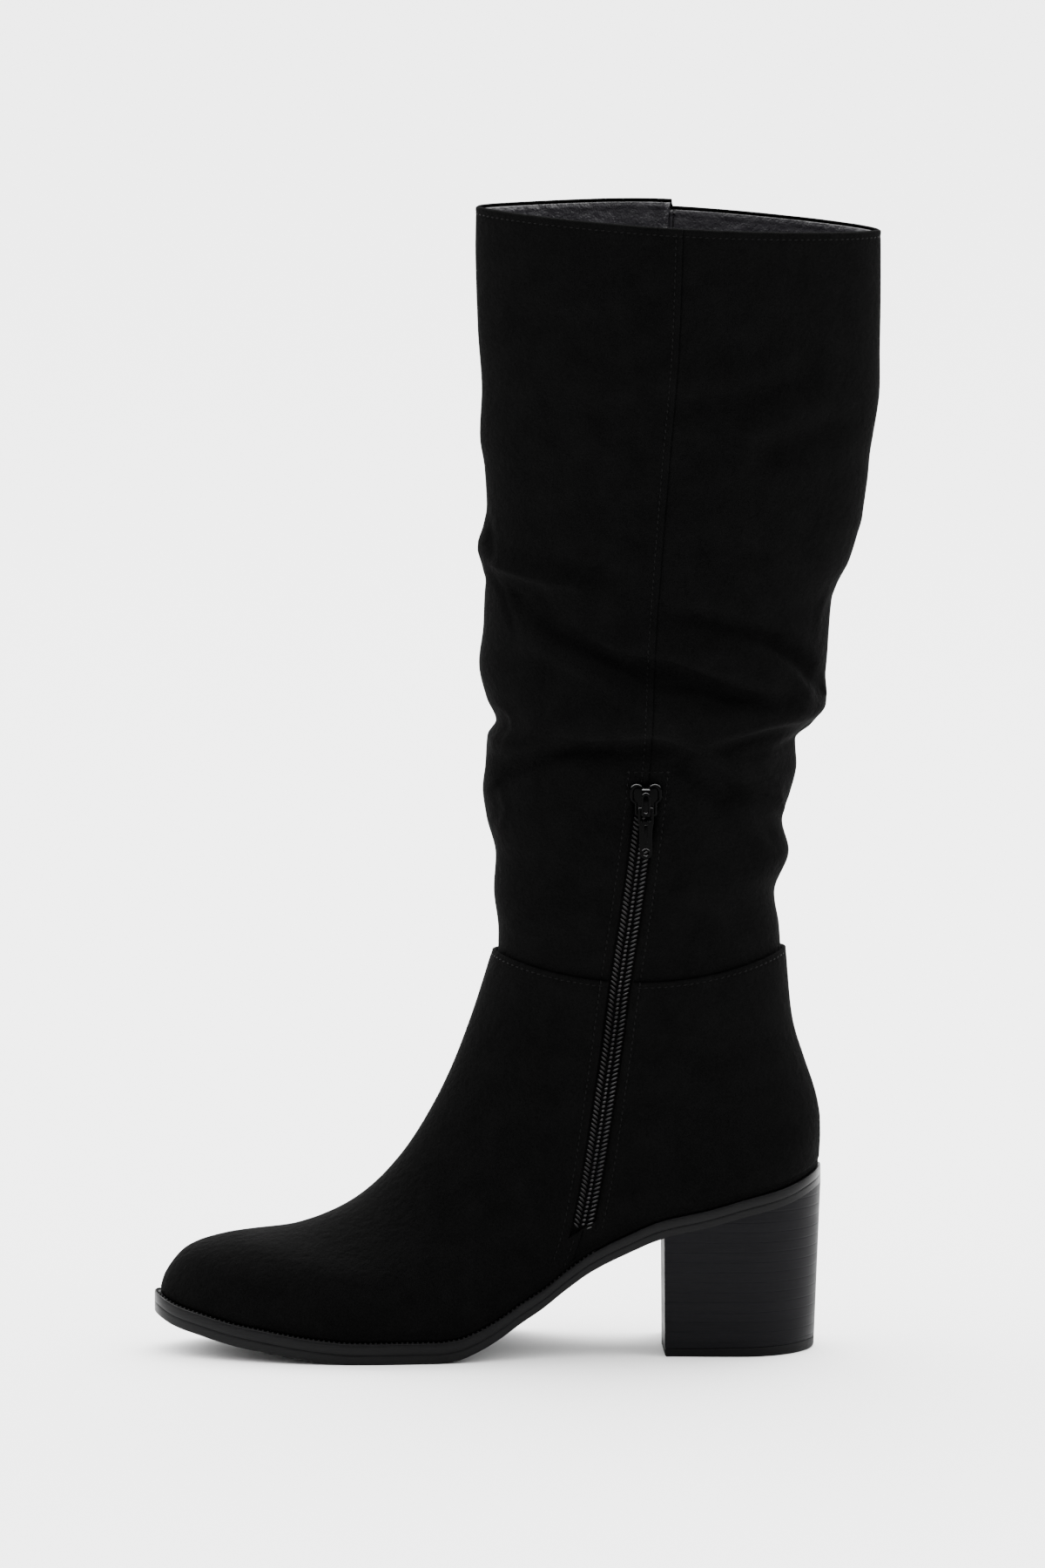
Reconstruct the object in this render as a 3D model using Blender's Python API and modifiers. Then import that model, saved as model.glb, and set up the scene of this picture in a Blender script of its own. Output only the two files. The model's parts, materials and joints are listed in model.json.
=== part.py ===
"""Slouch boot for the right foot, with a block heel and a zip on its inner side.

Metres, +Z up. The toe points to -X and the inner (zip) side faces -Y. The origin is
the centre of the heel's resting face, on the floor.
"""
import math
from bisect import bisect_right
from typing import Callable, NamedTuple, Sequence

import bmesh
import bpy
from mathutils import Matrix, Vector

# Sole and last
SOLE_LENGTH = 0.2558
HEEL_BACK = 0.0318
BALL_WIDTH = 0.0855
TOE_TURN = 0.006
TOE_SPRING = 0.0147
SEAT_HEIGHT = 0.0640
FOREPART_THICKNESS = 0.0081
WAIST_THICKNESS = 0.0069
OUTSOLE_SHARE = 0.5
TOE_CAP_SHARE = 0.35
HEEL_CAP_SHARE = 0.115
TURN_ENDS = 0.45
TURN_POWER = 1.6
WELT_MARGIN_TOE = 0.0024
WELT_MARGIN_HEEL = 0.0010

# Heel
HEEL_TOP_LENGTH = 0.0614
HEEL_FOOT_LENGTH = 0.0585
HEEL_FOOT_WIDTH_SHARE = 0.92
TOP_LIFT = 0.0042

# Insole
INSOLE_THICKNESS = 0.0030
INSOLE_CLEARANCE = 0.0009

# Upper, the foot part of the boot
UPPER_WALL = 0.0016
BAND_HEIGHT = 0.0020
ANKLE_FRONT = 0.1546
ANKLE_SIDE = 0.1460
ANKLE_BACK = 0.1556
ANKLE_WIDTH = 0.0660
SWELL = 0.0016

# Shaft
SHAFT_WALL = 0.0014
LAP_ROWS = 0.33
COLLAR_HEIGHT = 0.4407
COLLAR_DROP = 0.0090
COLLAR_FRONT = 0.1005
COLLAR_DEPTH = 0.1544
COLLAR_WIDTH = 0.0760
FOLD_DEPTH = 0.0030
FOLD_FADE = 12.0

# Zip
SLOT_WIDTH = 0.0090
ZIP_BOTTOM = 0.0500
ZIP_TOP = 0.2210
TAPE_WIDTH = 0.0240
TAPE_THICKNESS = 0.0006
TAPE_TAIL = 0.0050
COIL_WIDTH = 0.0070
COIL_THICKNESS = 0.0018
SLIDER_LENGTH = 0.0130
SLIDER_WIDTH = 0.0124
SLIDER_FOOT_WIDTH = 0.0080
SLIDER_PLATE = 0.0018
SLIDER_DROP = 0.0039
NECK_WIDTH = 0.0075
BRIDGE_WIDTH = 0.0030
BRIDGE_BAR = 0.0013
BRIDGE_SPACE = 0.0022
PULL_LENGTH = 0.0200
PULL_WIDTH = 0.0060
PULL_THICKNESS = 0.0012
PULL_BAR = 0.0013
PULL_WINDOW_WIDTH = 0.0038
PULL_WINDOW_LENGTH = 0.0042
PULL_HOLE_RADIUS = 0.0009

# Clearances
FIT_GAP = 0.0003
SOFT_GAP = 0.0005

# Mesh steps
UPPER_COLUMNS = (18, 8, 27)
SHAFT_COLUMNS = (11, 8, 18)
TOE_STEPS = 9
MIDDLE_STEPS = 18
HEEL_STEPS = 8
SOLVE_STEPS = 22
NUDGE = 0.001


class SideRow(NamedTuple):
    """Height of the sole's underside at one place along it."""

    along: float
    rise: float


class OutlineRow(NamedTuple):
    """Half-widths of the sole, as shares of the ball width."""

    along: float
    inner: float
    outer: float


class Ring(NamedTuple):
    """One ring of the upper, from the sole (first row) to the ankle seam (last row).

    front and back are set-backs from the sole's margin, as shares of the sole's length.
    The three rises are shares of the height from the sole to the ankle seam. ankle is
    how far the ring has turned from the sole's outline to the ankle's oval. The caps are
    the shares of the ring that close its toe and its back. swell is a share of SWELL.
    """

    front: float
    front_rise: float
    side_rise: float
    back: float
    back_rise: float
    ankle: float
    toe_cap: float
    back_cap: float
    swell: float


class ShaftRow(NamedTuple):
    """Slouch of the shaft's front and back lines, as shares of the collar's depth."""

    up: float
    front: float
    back: float


class GirthRow(NamedTuple):
    """Extra half-width of the shaft, as a share of the collar's width, and its roundness."""

    up: float
    extra: float
    roundness: float


class Fold(NamedTuple):
    """A soft ridge (depth above 0) or trough across the shaft.

    depth is a share of FOLD_DEPTH, breadth a share of the collar's height, and path
    holds pairs of an angle round the shaft in degrees (0 front, 90 inner side, 180
    back, 270 outer side) and the share of the shaft's height that it crosses there.
    """

    depth: float
    breadth: float
    path: Sequence[tuple[float, float]]


class SeamRow(NamedTuple):
    """Place of the zip and of the seam above it, along the sole, at one height."""

    height: float
    along: float


# The toe's rise is a share of TOE_SPRING, and the arch's is a share of SEAT_HEIGHT
TOE_SIDE = (
    SideRow(0.00, 1.000),
    SideRow(0.03, 0.770),
    SideRow(0.07, 0.600),
    SideRow(0.12, 0.400),
    SideRow(0.165, 0.275),
    SideRow(0.21, 0.150),
    SideRow(0.25, 0.065),
    SideRow(0.30, 0.000),
    SideRow(0.43, 0.000),
)
ARCH_SIDE = (
    SideRow(0.43, 0.000),
    SideRow(0.455, 0.016),
    SideRow(0.487, 0.066),
    SideRow(0.52, 0.139),
    SideRow(0.55, 0.222),
    SideRow(0.585, 0.312),
    SideRow(0.615, 0.406),
    SideRow(0.655, 0.519),
    SideRow(0.71, 0.630),
    SideRow(0.76, 0.717),
    SideRow(0.83, 0.784),
    SideRow(0.89, 0.855),
    SideRow(0.95, 0.916),
    SideRow(1.00, 1.000),
)
WAIST_BLEND = (SideRow(0.42, 0.0), SideRow(0.60, 1.0))

SOLE_OUTLINE = (
    OutlineRow(0.00, 0.470, 0.420),
    OutlineRow(0.15, 0.505, 0.450),
    OutlineRow(0.30, 0.520, 0.475),
    OutlineRow(0.40, 0.505, 0.490),
    OutlineRow(0.47, 0.475, 0.480),
    OutlineRow(0.55, 0.400, 0.430),
    OutlineRow(0.62, 0.345, 0.385),
    OutlineRow(0.70, 0.325, 0.355),
    OutlineRow(0.78, 0.335, 0.345),
    OutlineRow(0.86, 0.345, 0.345),
    OutlineRow(1.00, 0.345, 0.345),
)

UPPER_RINGS = (
    Ring(0.0000, 0.000, 0.000, 0.0000, 0.000, 0.00, 0.35, 0.12, 0.00),
    Ring(0.0051, 0.036, 0.028, -0.0016, 0.008, 0.00, 0.35, 0.12, 0.50),
    Ring(0.0336, 0.128, 0.071, -0.0027, 0.057, 0.00, 0.36, 0.13, 0.88),
    Ring(0.1001, 0.200, 0.124, -0.0035, 0.117, 0.00, 0.38, 0.15, 1.00),
    Ring(0.2016, 0.245, 0.193, -0.0031, 0.191, 0.15, 0.42, 0.20, 0.62),
    Ring(0.2916, 0.325, 0.273, 0.0000, 0.264, 0.35, 0.46, 0.27, 0.00),
    Ring(0.3656, 0.454, 0.392, 0.0071, 0.355, 0.60, 0.50, 0.35, 0.00),
    Ring(0.4273, 0.643, 0.541, 0.0207, 0.488, 0.80, 0.50, 0.43, 0.00),
    Ring(0.4686, 0.828, 0.751, 0.0391, 0.691, 0.95, 0.50, 0.50, 0.00),
    Ring(0.4986, 1.000, 1.000, 0.0489, 1.000, 1.00, 0.50, 0.50, 0.00),
)

SHAFT_LINES = (
    ShaftRow(0.000, 0.000, 0.000),
    ShaftRow(0.030, 0.002, -0.011),
    ShaftRow(0.080, -0.006, -0.034),
    ShaftRow(0.130, 0.001, -0.012),
    ShaftRow(0.180, -0.019, -0.040),
    ShaftRow(0.215, -0.026, -0.030),
    ShaftRow(0.250, -0.017, -0.022),
    ShaftRow(0.290, -0.010, -0.034),
    ShaftRow(0.310, 0.012, 0.003),
    ShaftRow(0.340, -0.010, 0.029),
    ShaftRow(0.385, -0.026, 0.016),
    ShaftRow(0.435, -0.013, 0.011),
    ShaftRow(0.485, -0.006, 0.007),
    ShaftRow(0.505, 0.002, 0.014),
    ShaftRow(0.540, -0.022, 0.037),
    ShaftRow(0.575, -0.003, 0.048),
    ShaftRow(0.600, 0.005, 0.054),
    ShaftRow(0.650, 0.002, 0.054),
    ShaftRow(0.690, -0.007, 0.051),
    ShaftRow(0.760, 0.001, 0.054),
    ShaftRow(0.835, -0.004, 0.039),
    ShaftRow(0.920, -0.005, 0.020),
    ShaftRow(1.000, 0.000, 0.000),
)

SHAFT_GIRTH = (
    GirthRow(0.00, 0.000, 2.00),
    GirthRow(0.08, 0.000, 1.99),
    GirthRow(0.18, 0.007, 1.97),
    GirthRow(0.25, 0.013, 1.96),
    GirthRow(0.31, 0.046, 1.95),
    GirthRow(0.385, 0.046, 1.92),
    GirthRow(0.50, 0.033, 1.86),
    GirthRow(0.60, 0.026, 1.80),
    GirthRow(0.80, 0.013, 1.70),
    GirthRow(1.00, 0.000, 1.60),
)

FOLDS = (
    Fold(-1.00, 0.0140, ((30, 0.246), (62, 0.289), (94, 0.294), (121, 0.224))),
    Fold(0.83, 0.0185, ((25, 0.270), (60, 0.325), (90, 0.335), (115, 0.300), (140, 0.270))),
    Fold(-0.87, 0.0130, ((46, 0.477), (64, 0.438), (78, 0.406), (90, 0.402), (113, 0.367), (134, 0.347))),
    Fold(0.73, 0.0120, ((52, 0.421), (70, 0.398), (84, 0.367), (92, 0.351), (113, 0.339), (137, 0.339))),
    Fold(-0.67, 0.0120, ((97, 0.473), (113, 0.461), (130, 0.438), (144, 0.410), (160, 0.370))),
    Fold(0.60, 0.0105, ((113, 0.430), (137, 0.398), (152, 0.360))),
    Fold(-0.53, 0.0105, ((23, 0.547), (46, 0.547), (67, 0.524))),
    Fold(0.60, 0.0095, ((10, 0.507), (34, 0.515), (54, 0.501), (72, 0.490))),
    Fold(-1.00, 0.0095, ((118, 0.297), (133, 0.300), (152, 0.303), (170, 0.305))),
    Fold(-1.00, 0.0140, ((200, 0.250), (240, 0.300), (280, 0.310), (320, 0.260))),
    Fold(0.83, 0.0185, ((205, 0.300), (250, 0.350), (290, 0.355), (330, 0.300))),
    Fold(-0.87, 0.0130, ((215, 0.470), (250, 0.430), (290, 0.400), (325, 0.370))),
    Fold(0.73, 0.0120, ((215, 0.420), (250, 0.385), (290, 0.360), (330, 0.330))),
    Fold(-0.50, 0.0110, ((225, 0.550), (260, 0.520), (300, 0.530))),
)

# Height is a share of the collar's height, and along a share of the sole's length
ZIP_LINE = (
    SeamRow(0.0750, 0.6216),
    SeamRow(0.1140, 0.6423),
    SeamRow(0.2450, 0.6790),
    SeamRow(0.3310, 0.6986),
    SeamRow(0.3990, 0.7162),
    SeamRow(0.5015, 0.7377),
    SeamRow(0.5470, 0.7440),
    SeamRow(0.6130, 0.7480),
    SeamRow(0.6850, 0.7560),
    SeamRow(0.7715, 0.7674),
    SeamRow(0.8985, 0.7846),
    SeamRow(0.9916, 0.7897),
)

UPPER_ROWS = (0, 0.6, 1.2, 1.8, 2.4, 3, 3.6, 4.2, 4.8, 5.4, 6, 6.6, 7.2, 7.8, 8.4, 9)

TAPE_EDGES = (-TAPE_WIDTH / 2, -SLOT_WIDTH / 2, SLOT_WIDTH / 2, TAPE_WIDTH / 2)
COIL_EDGES = (-COIL_WIDTH / 2, 0, COIL_WIDTH / 2)

Surface = Callable[[float, float], Vector]


class Smooth:
    """Smooth curve through the rows of a table, which never overshoots them."""

    def __init__(self, places: Sequence[float], values: Sequence[float]) -> None:
        self.places = list(places)
        self.values = list(values)
        steps = [after - before for before, after in zip(self.places, self.places[1:])]
        rates = [(after - before) / step for before, after, step in zip(self.values, self.values[1:], steps)]
        self.slopes = [rates[0]]
        for index in range(1, len(rates)):
            before = rates[index - 1]
            after = rates[index]
            if before * after <= 0:
                self.slopes.append(0.0)
                continue
            near = 2 * steps[index] + steps[index - 1]
            far = steps[index] + 2 * steps[index - 1]
            self.slopes.append((near + far) / (near / before + far / after))
        self.slopes.append(rates[-1])

    def __call__(self, place: float) -> float:
        """Value at a place, held level beyond both ends."""
        if place <= self.places[0]:
            return self.values[0]
        if place >= self.places[-1]:
            return self.values[-1]
        index = bisect_right(self.places, place) - 1
        step = self.places[index + 1] - self.places[index]
        part = (place - self.places[index]) / step
        rest = 1 - part
        return (
            self.values[index] * (1 + 2 * part) * rest * rest
            + self.slopes[index] * step * part * rest * rest
            + self.values[index + 1] * part * part * (3 - 2 * part)
            - self.slopes[index + 1] * step * part * part * rest
        )


def table(rows: Sequence[NamedTuple], key: str, value: str) -> Smooth:
    """Smooth curve of one named column against another."""
    return Smooth([getattr(row, key) for row in rows], [getattr(row, value) for row in rows])


def by_row(rows: Sequence[NamedTuple], value: str) -> Smooth:
    """Smooth curve of one named column against the row's own number."""
    return Smooth(range(len(rows)), [getattr(row, value) for row in rows])


toe_rise = table(TOE_SIDE, "along", "rise")
arch_rise = table(ARCH_SIDE, "along", "rise")
waist_blend = table(WAIST_BLEND, "along", "rise")
inner_share = table(SOLE_OUTLINE, "along", "inner")
outer_share = table(SOLE_OUTLINE, "along", "outer")
ring_columns = {name: by_row(UPPER_RINGS, name) for name in Ring._fields}
slouch_front = table(SHAFT_LINES, "up", "front")
slouch_back = table(SHAFT_LINES, "up", "back")
girth_extra = table(SHAFT_GIRTH, "up", "extra")
girth_round = table(SHAFT_GIRTH, "up", "roundness")
zip_along = table(ZIP_LINE, "height", "along")
fold_paths = [Smooth([point[0] for point in fold.path], [point[1] for point in fold.path]) for fold in FOLDS]


def x_at(along: float) -> float:
    """Place of a share of the sole's length, counted from the toe."""
    return HEEL_BACK - SOLE_LENGTH * (1 - along)


def along_at(x: float) -> float:
    """Share of the sole's length at a place, counted from the toe."""
    return 1 - (HEEL_BACK - x) / SOLE_LENGTH


def underside(x: float) -> float:
    """Height of the sole's underside."""
    along = along_at(x)
    if along < TOE_SIDE[-1].along:
        return TOE_SPRING * toe_rise(along)
    return SEAT_HEIGHT * arch_rise(along)


def thickness(x: float) -> float:
    """Thickness of the whole sole, thinner at the waist and under the seat."""
    blend = waist_blend(along_at(x))
    return FOREPART_THICKNESS + (WAIST_THICKNESS - FOREPART_THICKNESS) * blend


def sole_top(x: float) -> float:
    """Height of the face that the upper and the insole lie on."""
    return underside(x) + thickness(x)


def layer_joint(x: float) -> float:
    """Height of the top of the outsole, where the midsole lies on it."""
    return underside(x) + OUTSOLE_SHARE * (thickness(x) - FIT_GAP)


def centre_y(x: float) -> float:
    """Centre line of the sole, which turns inwards towards the toe."""
    lead = max(TURN_ENDS - along_at(x), 0) / TURN_ENDS
    return -TOE_TURN * lead ** TURN_POWER


def half_width(x: float, inner: bool) -> float:
    """Half-width of the sole before its round ends are closed."""
    share = inner_share if inner else outer_share
    return BALL_WIDTH * share(along_at(x))


def margin(x: float) -> float:
    """Ledge of the sole outside the upper, which narrows towards the heel."""
    along = min(max(along_at(x), 0), 1)
    return WELT_MARGIN_TOE + (WELT_MARGIN_HEEL - WELT_MARGIN_TOE) * along


def closing(part: float, toe_cap: float, back_cap: float) -> float:
    """Share of the full width left at a part of the length between two round ends."""
    part = min(max(part, 0), 1)
    if part < toe_cap:
        return math.sqrt(max(1 - (1 - part / toe_cap) ** 2, 0))
    if part > 1 - back_cap:
        return math.sqrt(max(1 - (1 - (1 - part) / back_cap) ** 2, 0))
    return 1.0


def round_blend(angle: float, front: float, side: float, back: float) -> float:
    """Value round a ring that has its own size at the front, the sides and the back."""
    ahead = max(math.cos(angle), 0)
    behind = max(-math.cos(angle), 0)
    return side + (front - side) * ahead ** 2 + (back - side) * behind ** 2


def ankle_height(angle: float) -> float:
    """Height of the seam that joins the upper to the shaft."""
    return round_blend(angle, ANKLE_FRONT, ANKLE_SIDE, ANKLE_BACK)


def upper_point(row: float, angle: float) -> Vector:
    """Outer face of the upper; rows below 0 make the upright band on the sole."""
    ring = {name: column(max(row, 0)) for name, column in ring_columns.items()}
    front = x_at(0) + WELT_MARGIN_TOE + ring["front"] * SOLE_LENGTH
    back = HEEL_BACK - WELT_MARGIN_HEEL - ring["back"] * SOLE_LENGTH
    part = (1 - math.cos(angle)) / 2
    x = front + (back - front) * part
    inner = math.sin(angle) >= 0
    width = half_width(x, inner) - margin(x) + SWELL * ring["swell"]
    width += (ANKLE_WIDTH / 2 - width) * ring["ankle"]
    width *= closing(part, ring["toe_cap"], ring["back_cap"])
    y = centre_y(x) + (-width if inner else width)
    foot = sole_top(x) + SOFT_GAP
    if row < 0:
        return Vector((x, y, foot + BAND_HEIGHT * (1 + row)))
    foot += BAND_HEIGHT
    rise = round_blend(angle, ring["front_rise"], ring["side_rise"], ring["back_rise"])
    return Vector((x, y, foot + rise * (ankle_height(angle) - foot)))


def outward(surface: Surface, row: float, angle: float) -> Vector:
    """Outward normal of a surface given by row and angle."""
    across = surface(row, angle + NUDGE) - surface(row, angle - NUDGE)
    upward = surface(row + NUDGE, angle) - surface(row - NUDGE, angle)
    return across.cross(upward).normalized()


def lap_point(row: float, angle: float) -> Vector:
    """Outer face of the shaft's lower edge, tucked inside the top of the upper."""
    inset = UPPER_WALL + SOFT_GAP
    return upper_point(row, angle) - outward(upper_point, row, angle) * inset


def fold_height(up: float, angle: float) -> float:
    """How far the folds stand out of the shaft at a place on it."""
    degrees = math.degrees(angle) % 360
    total = 0.0
    for fold, path in zip(FOLDS, fold_paths):
        start = fold.path[0][0]
        end = fold.path[-1][0]
        outside = max(start - degrees, degrees - end, 0) / FOLD_FADE
        away = (up - path(degrees)) / fold.breadth * (COLLAR_HEIGHT - ANKLE_SIDE) / COLLAR_HEIGHT
        total += FOLD_DEPTH * fold.depth * math.exp(-outside ** 2 - away ** 2)
    return total


def shaft_point(up: float, angle: float) -> Vector:
    """Outer face of the shaft, from the ankle seam (0) to the collar (1)."""
    top_row = len(UPPER_RINGS) - 1
    if up < 0:
        return lap_point(top_row + up, angle)
    seam_front = lap_point(top_row, 0).x
    seam_back = lap_point(top_row, math.pi).x
    front = seam_front + (-COLLAR_FRONT - seam_front) * up + slouch_front(up) * COLLAR_DEPTH
    back = seam_back + (COLLAR_DEPTH - COLLAR_FRONT - seam_back) * up + slouch_back(up) * COLLAR_DEPTH
    seam_width = ANKLE_WIDTH / 2 - UPPER_WALL - SOFT_GAP
    width = seam_width + (COLLAR_WIDTH / 2 - seam_width) * up + girth_extra(up) * COLLAR_WIDTH
    depth = (back - front) / 2
    power = girth_round(up)
    forward = math.cos(angle)
    side = max(1 - abs(forward) ** power, 0) ** (1 / power)
    sign = -1 if math.sin(angle) >= 0 else 1
    normal = Vector((-forward / depth, sign * side / width, 0)).normalized()
    part = (1 - forward) / 2
    collar = COLLAR_HEIGHT - COLLAR_DROP * part
    low = lap_point(top_row, angle).z
    place = Vector(((front + back) / 2 - depth * forward, sign * width * side, low + (collar - low) * up))
    return place + normal * fold_height(up, angle)


def zip_x(z: float) -> float:
    """Centre line of the zip, and of the seam above it, at a height."""
    return x_at(zip_along(z / COLLAR_HEIGHT))


def seam_angle(surface: Surface, row: float, offset: float) -> float:
    """Angle on the inner side at which a row lies beside the zip's centre line."""
    low = 0.0
    high = math.pi
    for _ in range(SOLVE_STEPS):
        middle = (low + high) / 2
        place = surface(row, middle)
        if place.x < zip_x(place.z) + offset:
            low = middle
        else:
            high = middle
    return (low + high) / 2


def seam_row(surface: Surface, low: float, high: float, z: float) -> float:
    """Row at which the zip's centre line reaches a height."""
    for _ in range(SOLVE_STEPS):
        middle = (low + high) / 2
        if surface(middle, seam_angle(surface, middle, 0)).z < z:
            low = middle
        else:
            high = middle
    return (low + high) / 2


def with_row(rows: Sequence[float], extra: float) -> list[float]:
    """Rows of a skin with one of them moved to a height that matters."""
    nearest = min(rows[1:-1], key=lambda row: abs(row - extra))
    return sorted([row for row in rows if row != nearest] + [extra])


def spaced(start: float, end: float, steps: int) -> list[float]:
    """Even steps from a start up to, and without, an end."""
    return [start + (end - start) * step / steps for step in range(steps)]


def make_material(name: str, colour: tuple[float, float, float], roughness: float, metallic: float):
    """Principled material of one colour."""
    material = bpy.data.materials.new(name)
    material.use_nodes = True
    shader = material.node_tree.nodes["Principled BSDF"]
    shader.inputs["Base Color"].default_value = (*colour, 1.0)
    shader.inputs["Roughness"].default_value = roughness
    shader.inputs["Metallic"].default_value = metallic
    material.diffuse_color = (*colour, 1.0)
    return material


def add_object(name: str, mesh, material, collection):
    """Object for one sub-part, with its own material."""
    mesh.materials.clear()
    mesh.materials.append(material)
    mesh.shade_smooth()
    mesh.set_sharp_from_angle(angle=math.radians(40))
    item = bpy.data.objects.new(name, mesh)
    collection.objects.link(item)
    return item


def mesh_from(name: str, form: bmesh.types.BMesh):
    """Mesh of a finished bmesh, with its faces pointing out."""
    bmesh.ops.recalc_face_normals(form, faces=form.faces)
    mesh = bpy.data.meshes.new(name)
    form.to_mesh(mesh)
    form.free()
    return mesh


def loft(name: str, sections: Sequence[Sequence[Vector]]):
    """Closed solid through rings of equal length, capped at both ends."""
    form = bmesh.new()
    rings = [[form.verts.new(point) for point in section] for section in sections]
    for ring, following in zip(rings, rings[1:]):
        for index, vertex in enumerate(ring):
            beside = (index + 1) % len(ring)
            form.faces.new((vertex, ring[beside], following[beside], following[index]))
    form.faces.new(rings[0])
    form.faces.new(rings[-1])
    return mesh_from(name, form)


def skin_mesh(name: str, surface: Surface, rows: Sequence[float], slot: tuple, columns: tuple):
    """Open skin round the leg, facing out, split along the zip between the two slot rows.

    columns counts the steps from the front to the zip's tape, from the tape to the back,
    and on round the outer side. Two more edges follow the tape, and two the slot.
    """
    form = bmesh.new()
    grid = []
    ahead_count, behind_count, outer_count = columns
    for row in rows:
        edges = [seam_angle(surface, row, offset) for offset in TAPE_EDGES]
        angles = spaced(0, edges[0], ahead_count) + edges[:-1]
        angles += spaced(edges[-1], math.pi, behind_count)
        angles += spaced(math.pi, 2 * math.pi, outer_count)
        grid.append([form.verts.new(surface(row, angle)) for angle in angles])
    for index, (lower, upper) in enumerate(zip(grid, grid[1:])):
        open_here = slot[0] <= rows[index] and rows[index + 1] <= slot[1]
        for column in range(len(lower)):
            if open_here and column == ahead_count + 1:
                continue
            beside = (column + 1) % len(lower)
            form.faces.new((lower[column], lower[beside], upper[beside], upper[column]))
    mesh = bpy.data.meshes.new(name)
    form.to_mesh(mesh)
    form.free()
    return mesh


def add_wall(item, wall: float) -> None:
    """Give an open skin its wall, inwards from the outer face."""
    solidify = item.modifiers.new("wall", "SOLIDIFY")
    solidify.thickness = wall
    solidify.offset = -1
    solidify.use_even_offset = True
    solidify.use_rim = True


def sole_stations() -> list[float]:
    """Places along the sole, closer together in its round ends."""
    first = 3
    toe = [first + (90 - first) * step / TOE_STEPS for step in range(TOE_STEPS)]
    toe_end = [TOE_CAP_SHARE * (1 - math.cos(math.radians(turn))) for turn in toe]
    heel = [first + (90 - first) * step / HEEL_STEPS for step in range(HEEL_STEPS)]
    heel_end = [1 - HEEL_CAP_SHARE * (1 - math.cos(math.radians(turn))) for turn in heel]
    middle = spaced(TOE_CAP_SHARE, 1 - HEEL_CAP_SHARE, MIDDLE_STEPS)
    return toe_end + middle + [1 - HEEL_CAP_SHARE] + sorted(heel_end)


def sole_slab(name: str, inset: Callable[[float], float], low, high):
    """Closed slab with the sole's outline, inset from its edge, between two heights."""
    front = x_at(0) + inset(x_at(0))
    back = HEEL_BACK - inset(HEEL_BACK)
    sections = []
    for part in sole_stations():
        x = front + (back - front) * part
        open_share = closing(part, TOE_CAP_SHARE, HEEL_CAP_SHARE)
        inner = centre_y(x) - (half_width(x, True) - inset(x)) * open_share
        outer = centre_y(x) + (half_width(x, False) - inset(x)) * open_share
        bottom = low(x)
        top = high(x)
        corners = ((inner, bottom), (outer, bottom), (outer, top), (inner, top))
        sections.append([Vector((x, y, z)) for y, z in corners])
    return loft(name, sections)


def heel_slab(name: str, low: float, high: float | None):
    """Part of the heel block between two heights; without a top it meets the outsole."""
    front = HEEL_BACK - HEEL_TOP_LENGTH
    cap = HEEL_CAP_SHARE * SOLE_LENGTH / HEEL_TOP_LENGTH
    parts = spaced(0, 1 - cap, 4)
    parts += [1 - cap * (1 - math.cos(math.radians(turn))) for turn in range(90, 0, -10)]
    parts += [1 - cap * (1 - math.cos(math.radians(3)))]

    def corner(part: float, inner: bool, z: float, full: float) -> Vector:
        """Point on the heel's side, which tapers evenly down to its resting face."""
        taper = z / full
        top_x = front + HEEL_TOP_LENGTH * part
        foot_x = HEEL_FOOT_LENGTH * (part - 0.5)
        width = half_width(top_x, inner) * closing(part, 0, cap)
        width *= HEEL_FOOT_WIDTH_SHARE + (1 - HEEL_FOOT_WIDTH_SHARE) * taper
        return Vector((foot_x + (top_x - foot_x) * taper, -width if inner else width, z))

    sections = []
    for part in parts:
        full = underside(front + HEEL_TOP_LENGTH * part) - FIT_GAP
        top = full if high is None else high
        ring = [corner(part, True, low, full), corner(part, False, low, full)]
        ring += [corner(part, False, top, full), corner(part, True, top, full)]
        sections.append(ring)
    return loft(name, sections)


def zip_rows(upper_rows: Sequence[float], shaft_rows: Sequence[float]) -> list[tuple]:
    """Rows of both skins that the zip's tape runs behind: skin, row and depth behind it."""
    low = seam_row(upper_point, 0, 9, ZIP_BOTTOM - TAPE_TAIL)
    high = seam_row(shaft_point, 0, 1, ZIP_TOP + TAPE_TAIL)
    behind_upper = UPPER_WALL + SOFT_GAP
    behind_lap = behind_upper + SHAFT_WALL + SOFT_GAP
    tuck = upper_rows[-1] - LAP_ROWS
    rows = []
    for row in [low] + [row for row in upper_rows if low < row < tuck - 0.2]:
        blend = Smooth((tuck - 1.6, tuck - 0.5), (0, 1))(row)
        rows.append((upper_point, row, behind_upper + (behind_lap - behind_upper) * blend))
    for row in [row for row in shaft_rows if row < high] + [high]:
        rows.append((shaft_point, row, SHAFT_WALL + SOFT_GAP))
    return rows


def zip_strip(name: str, rows: Sequence[tuple], edges: Sequence[float], far: float, near: float):
    """Closed strip along the zip, between two distances outside the tape's outer face."""
    sections = []
    for surface, row, depth in rows:
        ring = []
        for lift, offsets in ((near, edges), (far, edges[::-1])):
            for offset in offsets:
                angle = seam_angle(surface, row, offset)
                normal = outward(surface, row, angle)
                ring.append(surface(row, angle) - normal * (depth - lift))
        sections.append(ring)
    return loft(name, sections)


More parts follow.
